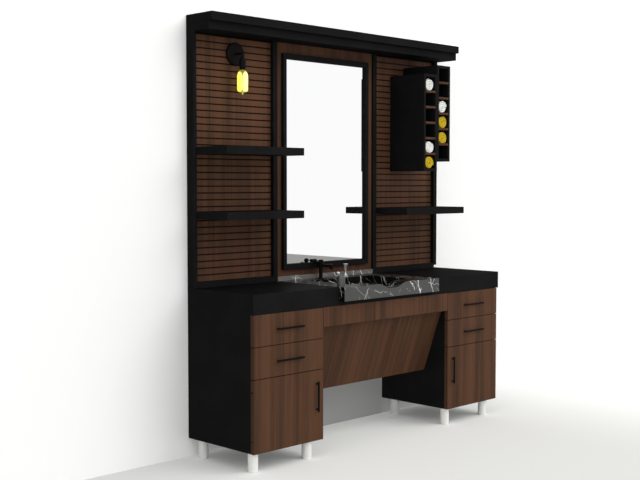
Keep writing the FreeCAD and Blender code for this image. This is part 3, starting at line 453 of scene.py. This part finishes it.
def easedBoxes(spans, ease, lip=2.2):
    # every board of a list at once, edges rounded by ease millimetres
    signs, insets, faces, wear = boxPattern(ease / 1000, lip / 1000)
    low, high = np.swapaxes(spans, 0, 1)
    middle, half = (low + high) / 2, (high - low) / 2
    points = middle[:, None] + signs[None] * (half[:, None] - insets[None])
    count = len(signs)
    allFaces = [[v + count * board for v in face] for board in range(len(spans)) for face in faces]
    return points.reshape(-1, 3), allFaces, np.tile(wear, len(spans))


def boards(name, spans, node, ease, finish="black_board", lip=2.2):
    points, faces, wear = easedBoxes(spans, ease, lip)
    newPiece(name, points, faces, finish, node, wear=wear)


def easedLine(corners, radius, steps=3):
    # a profile whose inner corners are rounded: each becomes a short parabola between the points that lie
    # radius before and after it, (1 - t)^2 * start + 2 t (1 - t) * corner + t^2 * end
    corners = np.array(corners, float)
    line = [corners[0]]
    for before, here, after in zip(corners[:-2], corners[1:-1], corners[2:]):
        start, end = (here + way / np.linalg.norm(way) * min(radius, np.linalg.norm(way) * 0.45)
                      for way in (before - here, after - here))
        t = np.linspace(0, 1, steps + 1)[:, None]
        line += list((1 - t) ** 2 * start + 2 * t * (1 - t) * here + t ** 2 * end)
    line.append(corners[-1])
    return np.array(line)


def turnedSurface(profile, centre, axis=(0, 0, 1), count=32):
    # a profile of (radius, height) in millimetres turned about an axis through centre:
    # point = centre + radius * (cos a * side + sin a * across) + height * axis; a radius of 0 is a pole
    profile = np.array(profile, float) / 1000
    axis = np.array(axis, float)
    side = np.cross([0, 1, 0] if abs(axis[1]) < 0.9 else [1, 0, 0], axis)
    side = side / np.linalg.norm(side)
    across = np.cross(axis, side)
    angle = np.linspace(0, 2 * math.pi, count, endpoint=False)
    circle = np.cos(angle)[:, None] * side + np.sin(angle)[:, None] * across
    grid = centre + profile[:, 0, None, None] * circle[None] + profile[:, 1, None, None] * axis
    points, rings, start = [], [], 0
    for ring, pole in zip(grid, profile[:, 0] < 1e-9):
        points.append(ring[:1] if pole else ring)
        rings.append(start + np.arange(count) * (not pole))
        start += len(points[-1])
    return np.vstack(points), distinct(ringQuads(np.array(rings), True))


def tubeAlong(path, radius, normal, count):
    # a circle carried along a path in the plane that normal stands on, with a pole at both ends:
    # point = path + radius * (cos a * normal + sin a * other), other square to the path and the normal
    normal = np.array(normal, float)
    toward = np.gradient(path, axis=0)
    toward /= np.linalg.norm(toward, axis=1)[:, None]
    other = np.cross(toward, normal)[:, None]
    angle = np.linspace(0, 2 * math.pi, count, endpoint=False)[None, :, None]
    rings = path[:, None] + radius * (np.cos(angle) * normal + np.sin(angle) * other)
    index = np.arange(len(path) * count).reshape(len(path), count)
    first, last = np.full((2, count), index.size) + [[0], [1]]
    fans = np.vstack([np.stack([first, index[0], np.roll(index[0], -1)], 1),
                      np.stack([last, np.roll(index[-1], -1), index[-1]], 1)])
    points = np.vstack([rings.reshape(-1, 3), path[:1], path[-1:]])
    return points, ringQuads(index).tolist() + fans.tolist()


pedestalSizes = {"starts": (0.0, 1458.0), "width": 462.0, "board": 18.0, "low": 94.0, "high": 755.0,
                 "deep": 470.5, "backBoard": 6.0, "dividerTop": 448.0, "dividerFront": 445.5, "ease": 0.7,
                 "frontEase": 0.8}


def pedestalBoards():
    # two sides for each pedestal, with its floor, its top and the divider below the drawers
    k = pedestalSizes
    low, high, deep, board, divider = k["low"], k["high"], k["deep"], k["board"], k["dividerTop"]
    sides, decks = [], []
    for start in k["starts"]:
        end, inner, outer = start + k["width"], start + board, start + k["width"] - board
        sides += [span(start, inner, 0, deep, low, high), span(outer, end, 0, deep, low, high)]
        decks += [span(inner, outer, 0, deep, low, low + board),
                  span(inner, outer, 0, deep, high - board, high),
                  span(inner, outer, k["backBoard"], k["dividerFront"], divider - board, divider)]
    boards("pedestalSides", sides, "cabinet_sides", k["ease"])
    boards("pedestalDecks", decks, "cabinet_decks", k["ease"])


legSizes = {"radius": 25.0, "height": 94.0, "columns": (35.0, 392.0), "rows": (75.0, 448.0), "chamfer": 1.5,
            "groove": 9.0, "grooveDeep": 0.9, "band": 6.0}


def legs():
    # turned legs with a chamfered foot and a fine groove round it
    k = legSizes
    r, h, c, g = k["radius"], k["height"], k["chamfer"], k["groove"]
    neck = r - k["grooveDeep"]
    profile = [(0, 0), (r - 3 * c, 0), (r - c, 0), (r, c), (r, g - 1), (neck, g - 0.4), (neck, g + 0.4),
               (r, g + 1), (r, h - k["band"]), (r, h - c), (r - c, h), (0, h)]
    profile = easedLine(profile, 0.6, 2)
    shapes = [turnedSurface(profile, spot(start + along, out, 0), count=56)
              for start in pedestalSizes["starts"] for along in k["columns"] for out in k["rows"]]
    newPiece("pedestalLegs", *joined(*shapes), "satin_aluminium", "cabinet_legs")


pedestalBoards()
legs()
frontEase = pedestalSizes["frontEase"]
frontWalnutShadedEdges = walnut("walnutFrontsShadedEdges", shadedEdges=True)
for side in ("left", "right"):
    for level in ("upper", "lower"):
        drawer = side + "_" + level + "_drawer"
        easedCopy(side + level.capitalize() + "Front", drawer + "_front", frontWalnutShadedEdges, frontEase, drawer)
    easedCopy(side + "DoorLeaf", side + "_door", frontWalnutShadedEdges, frontEase, side + "_door_leaf")
print("pedestals, legs and fronts made")


handleSizes = {"front": 495.0, "gap": 11.0, "thick": 7.0, "high": 9.5, "postRadius": 4.0, "postInset": 12.5,
               "drawerLength": 176.0, "doorLength": 153.0, "ease": 1.6, "lip": 1.2,
               "drawerAlong": {"left": 231, "right": 1689}, "doorAlong": {"left": 417, "right": 1503},
               "drawerHeight": {"Upper": 678.25, "Lower": 524.75}, "doorHeight": 315.0}


def handle(name, node, body, along, height, upright):
    # a flat bar with soft edges on two posts that flare where they meet it
    k = handleSizes
    reach = (k["doorLength"] if upright else k["drawerLength"]) / 2
    wide, tall = (k["high"] / 2, reach) if upright else (reach, k["high"] / 2)
    near, post = k["front"] + k["gap"], k["postRadius"]
    bar = span(along - wide, along + wide, near, near + k["thick"], height - tall, height + tall)
    shapes = [easedBoxes([bar], k["ease"], k["lip"])[:2]]
    profile = easedLine([(0, 0), (post + 1.2, 0), (post + 1.0, 0.9), (post - 0.4, 2.4), (post - 0.4, 8.0),
                         (post + 0.4, k["gap"]), (0, k["gap"])], 0.8, 2)
    for way in (-1, 1):
        step = way * (reach - k["postInset"])
        foot = spot(along + (0 if upright else step), k["front"], height + (step if upright else 0))
        shapes.append(turnedSurface(profile, foot, (0, -1, 0), 28))
    newPiece(name, *joined(*shapes), "black_metal", node, body)


for side, along in handleSizes["drawerAlong"].items():
    for level, height in handleSizes["drawerHeight"].items():
        drawer = side + "_" + level.lower() + "_drawer"
        handle(side + level + "Handle", drawer + "_handle", drawer, along, height, False)
for side, along in handleSizes["doorAlong"].items():
    door, height = side + "_door", handleSizes["doorHeight"]
    handle(side + "DoorPull", door + "_handle", door + "_leaf", along, height, True)
print("handles made")


worktopSizes = {"low": 755.0, "high": 850.0, "deep": 495.0, "basin": (580.0, 1334.0), "end": 1936.0,
                "deckBack": 57.0, "ease": 1.0}


def worktop():
    # a box at each side of the basin and a strip behind it; boards meet in mitres, so each is one closed body
    k = worktopSizes
    (start, end), low, high = k["basin"], k["low"], k["high"]
    spans = [span(0, start, 0, k["deep"], low, high), span(end, k["end"], 0, k["deep"], low, high),
             span(start, end, 0, k["deckBack"], low, high)]
    boards("worktopBoxes", spans, "worktop", k["ease"])


worktop()

# how far the sloping panel runs back as it drops
panelSizes = {"back": 140.0, "drop": 398.0, "ease": 0.8}
easedCopy("apronBoard", "apron", "walnut", panelSizes["ease"])
slopingWalnut = walnut("walnutSloping", -math.atan2(panelSizes["back"], panelSizes["drop"]))
easedCopy("slopingPanel", "service_panel", slopingWalnut, panelSizes["ease"])
print("worktop made")


# a post is from, to, and how far its lower end stands above the worktop; the foot is from, to and its height
wallSizes = {"low": 850.0, "high": 2117.0, "postDeep": 57.0, "railTop": 880.0, "board": 18.0,
             "posts": ((0, 18, 0), (531, 561, 0), (1312, 1342, 0), (1867, 1897, 20)),
             "foot": (1867, 1874, 20), "bays": ((18, 531), (1342, 1867)), "slatFace": 36.0, "slats": 36,
             "topGap": 4.0, "groove": 3.5, "grooveDeep": 4.0, "lip": 0.7, "tongue": 1.2, "rubbed": 2.5,
             "slatPaintedLight": 1.16, "ease": 0.8}


def postsAndRails():
    # four posts, a rail below each bay of slats, and a short foot under the last post
    k = wallSizes
    low, high, deep = k["low"], k["high"], k["postDeep"]
    spans = [span(start, end, 0, deep, low + lift, high) for start, end, lift in k["posts"]]
    spans += [span(start, end, k["board"], deep, low, k["railTop"]) for start, end in k["bays"]]
    start, end, lift = k["foot"]
    spans.append(span(start, end, 0, deep, low, low + lift))
    boards("postsAndRails", spans, "wall_frame", k["ease"])


# a lighter copy of the walnut for the slats: painted light, against the shade under the cornice and shelves
slatWalnutPaintedLighter = walnut("walnutSlatsPaintedLighter", pale=wallSizes["slatPaintedLight"])


def slatWall(name, node, start, end):
    # one bay: each board's section is a flat face, a rounded lip and a groove below the next board; the
    # sections stacked up are one profile over height, carried along the bay: point = (column, section's
    # depth, board's foot + section's height), and every board is closed at its back and ends
    k = wallSizes
    pitch = (k["high"] - k["topGap"] - k["railTop"]) / k["slats"]
    back, face, lip, rubbed = k["board"], k["slatFace"], k["lip"], k["rubbed"]
    deep, rise = face - k["grooveDeep"], pitch - k["groove"]
    slope, soft = deep + k["tongue"], lip * 0.3
    section = np.array([(back, 0), (slope, 0), (face - lip, 0), (face - soft, soft), (face, lip),
                        (face, lip + rubbed), (face, rise - lip - rubbed), (face, rise - lip),
                        (face - soft, rise - soft), (face - lip, rise), (slope, rise), (deep, rise),
                        (deep, pitch), (back, pitch)])
    # how much painted shade lies at each point of the section, in the groove and over the lips beside it, and
    # how rubbed the wood is
    dark = [0, 1, 1, 1, 0.9, 0, 0, 0.9, 1, 1, 1, 1, 1, 0]
    worn = [0, 0, 1, 1, 1, 0, 0, 1, 1, 1, 0, 0, 0, 0]
    columns = np.array([start, start + 1.0, end - 1.0, end])
    feet = k["railTop"] + pitch * np.arange(k["slats"])
    grid = np.empty((k["slats"], len(columns), len(section), 3))
    grid[..., 0] = leftEnd + columns[None, :, None] / 1000
    grid[..., 1] = wallFace - section[None, None, :, 0] / 1000
    grid[..., 2] = (feet[:, None, None] + section[None, None, :, 1]) / 1000
    index = np.arange(grid[..., 0].size).reshape(grid.shape[:3])
    faces = ringQuads(index).tolist() + index[:, 0].tolist() + index[:, -1, ::-1].tolist()
    rows = k["slats"] * len(columns)
    newPiece(name, grid.reshape(-1, 3), faces, slatWalnutPaintedLighter, node, sharp=40,
             groove=np.tile(dark, rows), wear=np.tile(worn, rows))


postsAndRails()
for side, bay in zip(("left", "right"), wallSizes["bays"]):
    slatWall(side + "SlatBoards", side + "_slats", *bay)
easedCopy("centrePanelBoard", "centre_panel", "walnut", wallSizes["ease"])

# each board of the cornice is its depth, its underside and its top
corniceSizes = {"length": 1925.0, "top": (200.0, 2158.5, 2200.0), "under": (179.0, 2117.0, 2158.5),
                "ease": 1.0}
for part, node in (("top", "cornice_upper"), ("under", "cornice_lower")):
    deep, low, high = corniceSizes[part]
    board = span(0, corniceSizes["length"], 0, deep, low, high)
    boards("cornice" + part.capitalize(), [board], node, corniceSizes["ease"])

# each shelf is from, to and its top
shelfSizes = {"thick": 38.5, "near": 36.0, "far": 290.0, "ease": 1.0,
              "tops": ((18, 531, 1552.5), (18, 531, 1232.5), (1342, 1867, 1232.5))}
shelves = [span(start, end, shelfSizes["near"], shelfSizes["far"], top - shelfSizes["thick"], top)
           for start, end, top in shelfSizes["tops"]]
boards("wallShelves", shelves, "shelves", shelfSizes["ease"])
print("back wall, cornice and shelves made")


mirrorSizes = {"left": 598.0, "right": 1264.0, "low": 911.0, "high": 2061.0, "back": 45.0, "front": 65.0,
               "stile": 23.0, "rail": 29.0, "ease": 1.2}


def mirrorFrame():
    # two stiles at full height with the rails between them
    k = mirrorSizes
    left, right, low, high = k["left"], k["right"], k["low"], k["high"]
    back, front, inner, outer = k["back"], k["front"], left + k["stile"], right - k["stile"]
    spans = [span(left, inner, back, front, low, high), span(outer, right, back, front, low, high),
             span(inner, outer, back, front, low, low + k["rail"]),
             span(inner, outer, back, front, high - k["rail"], high)]
    boards("mirrorSurround", spans, "mirror_frame", k["ease"])


mirrorFrame()

rackSizes = {"starts": (1483.0, 1602.0), "bottoms": (1444.0, 1501.0), "width": 119.0, "height": 555.98,
             "near": 36.0, "far": 295.0, "board": 16.0, "back": 6.0, "shelf": 12.0, "cell": 77.33, "cells": 6,
             "ease": 0.7, "lip": 2.0}


def towelRack():
    # two columns, each with sides, floor, top and back, and a shelf between one cell and the next
    k = rackSizes
    near, far, board, back = k["near"], k["far"], k["board"], k["near"] + k["back"]
    case, shelves = [], []
    for start, low in zip(k["starts"], k["bottoms"]):
        end, high = start + k["width"], low + k["height"]
        inner, outer = start + board, end - board
        case += [span(start, inner, near, far, low, high), span(outer, end, near, far, low, high),
                 span(inner, outer, near, far, low, low + board),
                 span(inner, outer, near, far, high - board, high),
                 span(inner, outer, near, back, low + board, high - board)]
        tops = low + board + np.arange(1, k["cells"]) * (k["cell"] + k["shelf"])
        shelves += [span(inner, outer, back, far, top - k["shelf"], top) for top in tops]
    boards("rackBoards", case, "towel_rack_case", k["ease"], lip=k["lip"])
    boards("rackShelves", shelves, "towel_rack_shelves", k["ease"], "walnut")


towelRack()

# white and yellow hold each towel's column, counted from the left, and cell, counted from below
towelSizes = {"radius": 34.9, "over": 5.5, "core": 3.4, "pitch": 11.4, "thick": 9.0, "near": 60.0,
              "far": 289.0, "rows": 210, "taper": 5.0, "press": 0.95, "clear": 0.3, "uneven": 1.9,
              "white": ((0, 5), (0, 1), (1, 3)), "yellow": ((0, 0), (1, 2), (1, 1)),
              "seeds": {"white": 11, "yellow": 21}}


def rolledTowel(name, colour, column, cell, seed):
    # a folded towel rolled up: its section, a long bar with round ends, is carried along a spiral whose
    # radius grows by one pitch a turn, point = centre + (radius * cos a, section's length, radius * sin a);
    # the layers' ends stand in and out a little, and the roll is pressed flat underneath
    k, r = towelSizes, rackSizes
    chance = np.random.default_rng(seed)
    turns = (k["radius"] + k["over"] - k["thick"] / 2 - k["core"]) / k["pitch"]
    angle = np.linspace(0, turns * 2 * math.pi, k["rows"])
    start = chance.uniform(0, 2 * math.pi)
    middle = k["core"] + k["pitch"] * angle / (2 * math.pi)
    length = np.concatenate([[0], np.cumsum(np.hypot(np.diff(middle), middle[:-1] * np.diff(angle)))])
    half, long = k["thick"] / 2, (k["far"] - k["near"]) / 2
    bend = np.radians(np.linspace(-90, 90, 7))
    tip = np.stack([half * np.sin(bend), long - half + half * np.cos(bend)], 1)
    side = np.linspace(0.8, -0.8, 9)[:, None] * [[0, long - half]]
    section = np.vstack([tip, side + [[half, 0]], tip[::-1] * [1, -1], -side + [[-half, 0]]])
    taper = np.clip(np.minimum(length, length[-1] - length) / k["taper"], 0.0, 1.0)
    taper = 0.25 + 0.75 * np.sqrt(taper)
    slow, quick, swell = (high * np.sin(angle * often + chance.uniform(0, 6))
                          for high, often in ((1.1, 0.9), (0.8, 2.3), (0.35, 3.1)))
    wander = slow + quick
    out = section[None, :, 1] + np.sign(section[None, :, 1]) * (wander - k["uneven"])[:, None]
    radius = middle[:, None] + section[None, :, 0] * taper[:, None] + swell[:, None] * 0.4
    radius = np.minimum(radius, k["radius"])
    turn = start + angle[:, None] * (-1 if seed % 2 else 1)
    across, up = radius * np.cos(turn), radius * np.sin(turn)
    pressed = k["radius"] * k["press"]
    up = np.where(up < -pressed, -pressed + (up + pressed) * 0.5, up)
    up = up - up.min() - k["radius"]
    floor = r["bottoms"][column] + r["board"] + cell * (r["cell"] + r["shelf"]) + k["clear"]
    centre = spot(r["starts"][column] + r["width"] / 2, (k["near"] + k["far"]) / 2, floor + k["radius"])
    grid = centre + np.stack([across, -out, up], -1) / 1000
    index = np.arange(grid[..., 0].size).reshape(grid.shape[:2])
    faces = ringQuads(index)
    ends = np.stack([index[0], index[-1][::-1]])
    if seed % 2 == 0:
        faces, ends = faces[:, ::-1], ends[:, ::-1]
    # the folds between layers are marked, for the painted shade there
    foldShadeMask = (np.abs(section[:, 1]) < long - half * 1.05)[None, :] * np.ones((k["rows"], 1))
    foldShadeMask[angle > angle[-1] - 2 * math.pi] *= (section[:, 0] < 0)[None, :]
    towel = newPiece(name, grid.reshape(-1, 3), faces.tolist() + ends.tolist(), colour + "_towel",
                     colour + "_towels", sharp=80, fold=foldShadeMask.reshape(-1))


for colour, seed in towelSizes["seeds"].items():
    for number, (column, cell) in enumerate(towelSizes[colour]):
        rolledTowel(colour + "Towel" + "ABC"[number], colour, column, cell, seed + number)
print("towel rack and towels made")


basinSizes = {"upstand": (561.0, 1312.0, 45.0, 57.0, 850.0, 876.0), "upstandEase": 1.0, "rimEase": 1.6,
              "bowlEase": 4.0, "deckEase": 1.0}
easedCopy("basinFrontRim", "basin_front_rim", rimMarblePaintedSheen, basinSizes["rimEase"], steps=3)
easedCopy("basinDeckSlabs", "basin_deck", "marble", basinSizes["deckEase"])
easedCopy("basinBowlShell", "basin_bowl", "marble", basinSizes["bowlEase"], steps=4)
upstand = easedBoxes([span(*basinSizes["upstand"])], basinSizes["upstandEase"])[:2]
newPiece("marbleUpstand", *upstand, upstandMarblePaintedSheen, "upstand")
print("basin made")


tapSizes = {"deck": 850.0, "under": 755.0, "shank": 8.0, "nut": 13.0, "nutHigh": 8.0, "tail": 20.0,
            "mixer": (858.0, 84.0), "lift": (975.0, 101.0), "spray": (1035.0, 101.0),
            "breaker": (606.0, 480.0), "breakerLow": 778.0, "liftLow": 715.0, "sprayLow": 788.3}


def turnedPiece(name, node, finish, place, profile, soft, body="station", count=44):
    # heights in the profile are millimetres above the floor
    surface = turnedSurface(easedLine(profile, soft), spot(*place, 0), count=count)
    newPiece(name, *surface, finish, node, body, 60)


def taps():
    # every profile is (radius, height), from the lower end on the axis to the upper one
    k = tapSizes
    deck, under, shank, nut = k["deck"], k["under"], k["shank"], k["nut"]
    seat, foot, low = under - k["nutHigh"], under - k["nutHigh"] - k["tail"], k["breakerLow"]
    column = [(0, foot), (shank, foot), (shank, seat), (nut, seat), (nut, under), (shank, under),
              (shank, deck), (17, deck), (17, deck + 2.5), (15.5, deck + 5), (12, deck + 5.6), (11, deck + 8),
              (11, deck + 60), (10, deck + 63), (6, deck + 63), (6, deck + 91.1), (0, deck + 91.1)]
    turnedPiece("mixerColumn", "mixer_column", "black_metal", k["mixer"], column, 0.8)
    knob = [(0, k["liftLow"]), (3, k["liftLow"]), (3, 862.3), (6.5, 862.3), (8.4, 863.6), (10.6, 867.5),
            (11.9, 872.3), (11.3, 876.5), (9, 880.2), (5, 882.0), (0, 882.3)]
    turnedPiece("liftKnob", "lift_knob", "chrome", k["lift"], knob, 1.6, "drain_lift")
    wand = [(0, k["sprayLow"]), (5, k["sprayLow"]), (5, 860.3), (8, 860.3), (8, 863.0), (5.4, 866.0),
            (4.6, 872), (4.8, 884), (5.6, 894), (7.4, 904), (10.2, 913), (13.6, 919.4), (15, 921.4),
            (14.6, 923), (12.6, 923), (11.6, 921.6), (0, 921.2)]
    turnedPiece("sprayWand", "hand_spray", "chrome", k["spray"], wand, 1.2, "spray")
    dome = [(0, low), (shank, low), (shank, deck), (21, deck), (21, deck + 3), (20.2, deck + 4),
            (20.2, deck + 5.4), (21, deck + 6.4), (21, 895), (20.0, 900), (17.6, 904), (13.6, 907),
            (7, 908.7), (0, 909)]
    turnedPiece("breakerDome", "vacuum_breaker", "satin_steel", k["breaker"], dome, 1.4)


taps()
# piece, node, finish, how far its edges are eased, and its body where that moves
for copied in (("mixerSpout", "mixer_spout", "black_metal", 1.2, "spout"),
               ("mixerCap", "mixer_cap", "black_metal", 0.9, "mixer_head"),
               ("mixerLever", "mixer_lever", "black_metal", 0.6, "lever"),
               ("deckSockets", "deck_sockets", "chrome", 0.8), ("drainBody", "drain", "chrome", 0.5),
               ("drainPlug", "drain_plug", "chrome", 0.7, "plug")):
    easedCopy(*copied)
print("taps made")


lampSizes = {"along": 283.0, "wall": 36.0, "axis": 97.0, "height": 2029.0, "plate": 57.5,
             "plateThick": 12.0, "arm": 6.0, "elbow": 9.0, "socketTop": 2009.0, "socketLow": 1944.0,
             "socket": 16.5, "glass": 28.8, "glassLow": 1832.0, "shoulder": 1912.0, "loopApart": 27.4}


def lamp():
    # a turned wall plate with a bent arm, a turned socket, and a glass tube with lit loops inside
    k = lampSizes
    along, axis, height, elbow = k["along"], k["axis"], k["height"], k["elbow"]
    r, thick = k["plate"], k["plateThick"]
    plate = easedLine([(0, 0), (r, 0), (r, thick - 2.5), (r - 2.5, thick), (14, thick), (10, thick + 2),
                       (0, thick + 2)], 1.2)
    surfaces = [turnedSurface(plate, spot(along, k["wall"], height), (0, -1, 0), 72)]
    # the arm runs straight out, turns down through a quarter circle and drops into the socket
    turn = np.radians(np.linspace(0, 90, 10))[1:]
    outs = np.concatenate([np.linspace(k["wall"] + 8, axis - elbow, 10), axis - elbow + elbow * np.sin(turn),
                           np.full(4, axis)])
    ups = np.concatenate([np.full(10, height), height - elbow + elbow * np.cos(turn),
                          np.linspace(height - elbow - 3, k["socketTop"] - 2, 4)])
    path = np.stack([np.full(len(outs), leftEnd + along / 1000), wallFace - outs / 1000, ups / 1000], 1)
    surfaces.append(tubeAlong(path, k["arm"] / 1000, (1, 0, 0), 28))
    newPiece("lampArm", *joined(*surfaces), "black_metal", "lamp_bracket")

    top, low, r = k["socketTop"], k["socketLow"], k["socket"]
    shell = [(0, low + 12), (r - 3.4, low + 12), (r - 3.4, low + 1), (r - 3, low), (r - 2.5, low + 3),
             (r, low + 16), (r, top - 38), (r - 1, top - 37), (r - 1, top - 35), (r, top - 34), (r, top - 20),
             (14.5, top - 12), (9.5, top - 2), (7.5, top), (0, top)]
    turnedPiece("lampSocket", "lamp_socket", "black_metal", (along, axis), shell, 0.8, count=48)

    # from the pip, up round the foot and the straight wall to the shoulder and the neck
    g, foot, neck = k["glass"], k["glassLow"], k["shoulder"]
    glass = [(0, foot - 13), (2.2, foot - 11), (4.0, foot - 5), (6, foot - 0.6), (g * 0.72, foot + 1.5),
             (g * 0.92, foot + 5), (g, foot + 13), (g, neck), (g * 0.93, neck + 14), (g * 0.72, neck + 25),
             (13.2, low - 1.5), (12.6, low + 6), (0, low + 6)]
    turnedPiece("lampGlass", "lamp_bulb", bulbShell, (along, axis), glass, 3.0, count=64)

    # two glowing loops stand side by side, with a dark stem between their tops
    loop = easedLine([(0, foot + 4), (8, foot + 5), (12.4, foot + 13), (13.0, neck - 4), (11.8, neck + 10),
                      (8.0, neck + 21), (0, neck + 25)], 4.0)
    shift = np.array([1, -1, 0]) * k["loopApart"] / 2000 / math.sqrt(2)
    loops = [turnedSurface(loop, spot(along, axis, 0) + shift * way) for way in (-1, 1)]
    pale = np.repeat([0.0, 1.0], [len(points) for points, _ in loops])
    newPiece("lampLoops", *joined(*loops), "lamp_glass", "lamp_bulb", sharp=60, pale=pale)
    stem = [(0, foot + 2), (0.8, foot + 2), (0.8, neck - 6), (2.0, neck), (6.5, neck + 16), (10.5, low - 2),
            (10.5, low + 4), (0, low + 4)]
    stem = turnedSurface(stem, spot(along, axis, 0))
    newPiece("lampStem", *stem, "black_metal", "lamp_bulb", sharp=60)


lamp()
print("lamp made")


# a pair of numbers is where a change starts and where it is full, in metres or as part of a direction;
# the knee entries are those of the painted shadow on the wall between the pedestals
room = {"left": -6.0, "right": 10.25, "front": -13.0, "wall": 0.2665, "wallHigh": 6.0,
        "floor": tone(244, 244, 240), "floorPaintedShadeLeft": tone(232, 232, 229), "floorInMirror": tone(172, 172, 170),
        "wallTone": tone(255, 255, 255), "white": (1, 1, 1, 1), "kneeShade": (0.3, 0.3, 0.3, 1),
        "kneeLeft": (-0.62, -0.4), "kneeRight": (0.66, 0.46), "kneeTop": (0.84, 0.7),
        "paintedShadeLeft": (-0.9, -1.7), "glowsRight": (0.6, 2.4), "glowsHigh": (2.1, 2.24),
        "floorGlow": 0.09, "floorGlowRight": 0.3, "wallGlow": 0.08, "wallGlowHigh": 0.25,
        "skyLow": 0.72, "skyRise": 0.3, "skyBehind": 0.4, "ahead": (0.35, -0.35),
        "mirroredBehind": 0.25, "mirrorFades": (-0.1, 0.5),
        "sunStrength": 0.9, "sunSpread": 45.0, "sunFrom": (0.42, -0.78, 0.74)}


def stagePlane(name, near, far, material):
    # a plane as long as the room, from its near edge to its far one, each given as depth and height
    left, right = room["left"], room["right"]
    mesh = bpy.data.meshes.new(name)
    mesh.from_pydata([(left, *near), (right, *near), (right, *far), (left, *far)], [], [(0, 1, 2, 3)])
    mesh.materials.append(material)
    putInScene(name, mesh)


def stageFloor():
    # white, with painted shade greying it toward the left, and a faint glow for the camera alone that grows
    # toward the right; the mirror sees it greyer
    p = Paint("floorPaint")
    mirrored = p.add("ShaderNodeLightPath", {}, {}, "Is Glossy Ray")
    along = p.where()
    # painted shade: the floor greys toward the left
    paint = p.mix(along.step(*room["paintedShadeLeft"]), room["floor"], room["floorPaintedShadeLeft"])
    seen = p.mix(mirrored, paint, room["floorInMirror"])
    strength = room["floorGlow"] + along.step(*room["glowsRight"]) * room["floorGlowRight"]
    sockets = {"Color": room["white"], "Strength": mirrored.twin("Is Camera Ray") * strength}
    glow = p.add("ShaderNodeEmission", {}, sockets)
    solid = p.add("ShaderNodeBsdfDiffuse", {}, {"Color": seen})
    material = p.output(p.add("ShaderNodeAddShader", {}, {0: glow, 1: solid}))
    stagePlane("floor", (room["front"], 0), (room["wall"], 0), material)


def stageWall():
    # the wall shows only from the front and only to the camera, so light reaches the station's back
    p = Paint("wallPaint")
    camera = p.add("ShaderNodeLightPath", {}, {}, "Is Camera Ray")
    behind = p.add("ShaderNodeNewGeometry", {}, {}, "Backfacing")
    along = p.where()
    high = along.twin("Z")
    # painted shadow on the wall under the worktop, between the pedestals
    knee = along.step(*room["kneeLeft"]) * along.step(*room["kneeRight"]) * high.step(*room["kneeTop"])
    shade = p.mix(knee, room["wallTone"], room["kneeShade"])
    diffuse = p.add("ShaderNodeBsdfDiffuse", {}, {"Color": shade})
    strength = room["wallGlow"] + high.step(*room["glowsHigh"]) * room["wallGlowHigh"]
    glow = p.add("ShaderNodeEmission", {}, {"Color": room["white"], "Strength": strength})
    solid = p.add("ShaderNodeAddShader", {}, {0: diffuse, 1: glow})
    clear = p.add("ShaderNodeBsdfTransparent", {}, {})
    material = p.output(p.add("ShaderNodeMixShader", {}, {0: camera * (1 - behind), 1: clear, 2: solid}))
    stagePlane("wall", (room["wall"], 0), (room["wall"], room["wallHigh"]), material)


def studioLight():
    # a plain sky that is white to the camera, dimmer behind the station in reflections, and brightest in
    # front and above as a light, with one broad soft sun
    world = bpy.data.worlds.new("studio")
    bpy.context.scene.world = world
    p = Paint("studio", world)
    rays = p.add("ShaderNodeLightPath", {}, {}, "Is Camera Ray")
    glossy, through = rays.twin("Is Glossy Ray"), rays.twin("Is Transmission Ray")
    depth = p.where("Generated", "Y")
    reflected = 1 - depth.step(*room["mirrorFades"]) * (1 - room["mirroredBehind"])
    seenSky = rays + through * (1 - rays) + glossy * reflected
    ahead = depth.step(*room["ahead"])
    height = p.add("ShaderNodeMath", {"operation": "MAXIMUM"}, {0: depth.twin("Z"), 1: 0.0})
    dome = (height * room["skyRise"] + room["skyLow"]) * (ahead * (1 - room["skyBehind"]) + room["skyBehind"])
    light = seenSky + (1 - rays - glossy - through) * dome
    background = p.add("ShaderNodeBackground", {}, {"Color": room["white"], "Strength": light})
    p.output(background, "ShaderNodeOutputWorld")
    key = bpy.data.lights.new("softKey", "SUN")
    key.energy = room["sunStrength"]
    key.angle = math.radians(room["sunSpread"])
    sun = putInScene("softKey", key)
    sun.visible_glossy = False
    sun.rotation_mode = "QUATERNION"
    sun.rotation_quaternion = Vector(room["sunFrom"]).to_track_quat("Z", "Y")


stageFloor()
stageWall()
studioLight()

viewpoint = {"place": (-4.29188, -3.99002, 1.36757), "toward": (0.706466, 0.705856, -0.051705),
             "lens": 60.615, "sensor": 36.0, "farthest": 200.0}
lensData = bpy.data.cameras.new("camera")
lensData.sensor_width = viewpoint["sensor"]
lensData.lens = viewpoint["lens"]
lensData.clip_end = viewpoint["farthest"]
camera = putInScene("camera", lensData)
camera.location = viewpoint["place"]
camera.rotation_mode = "QUATERNION"
camera.rotation_quaternion = Vector(viewpoint["toward"]).to_track_quat("-Z", "Y")
bpy.context.scene.camera = camera
bpy.context.scene.view_settings.view_transform = "Standard"
print("floor, wall, light and camera set")
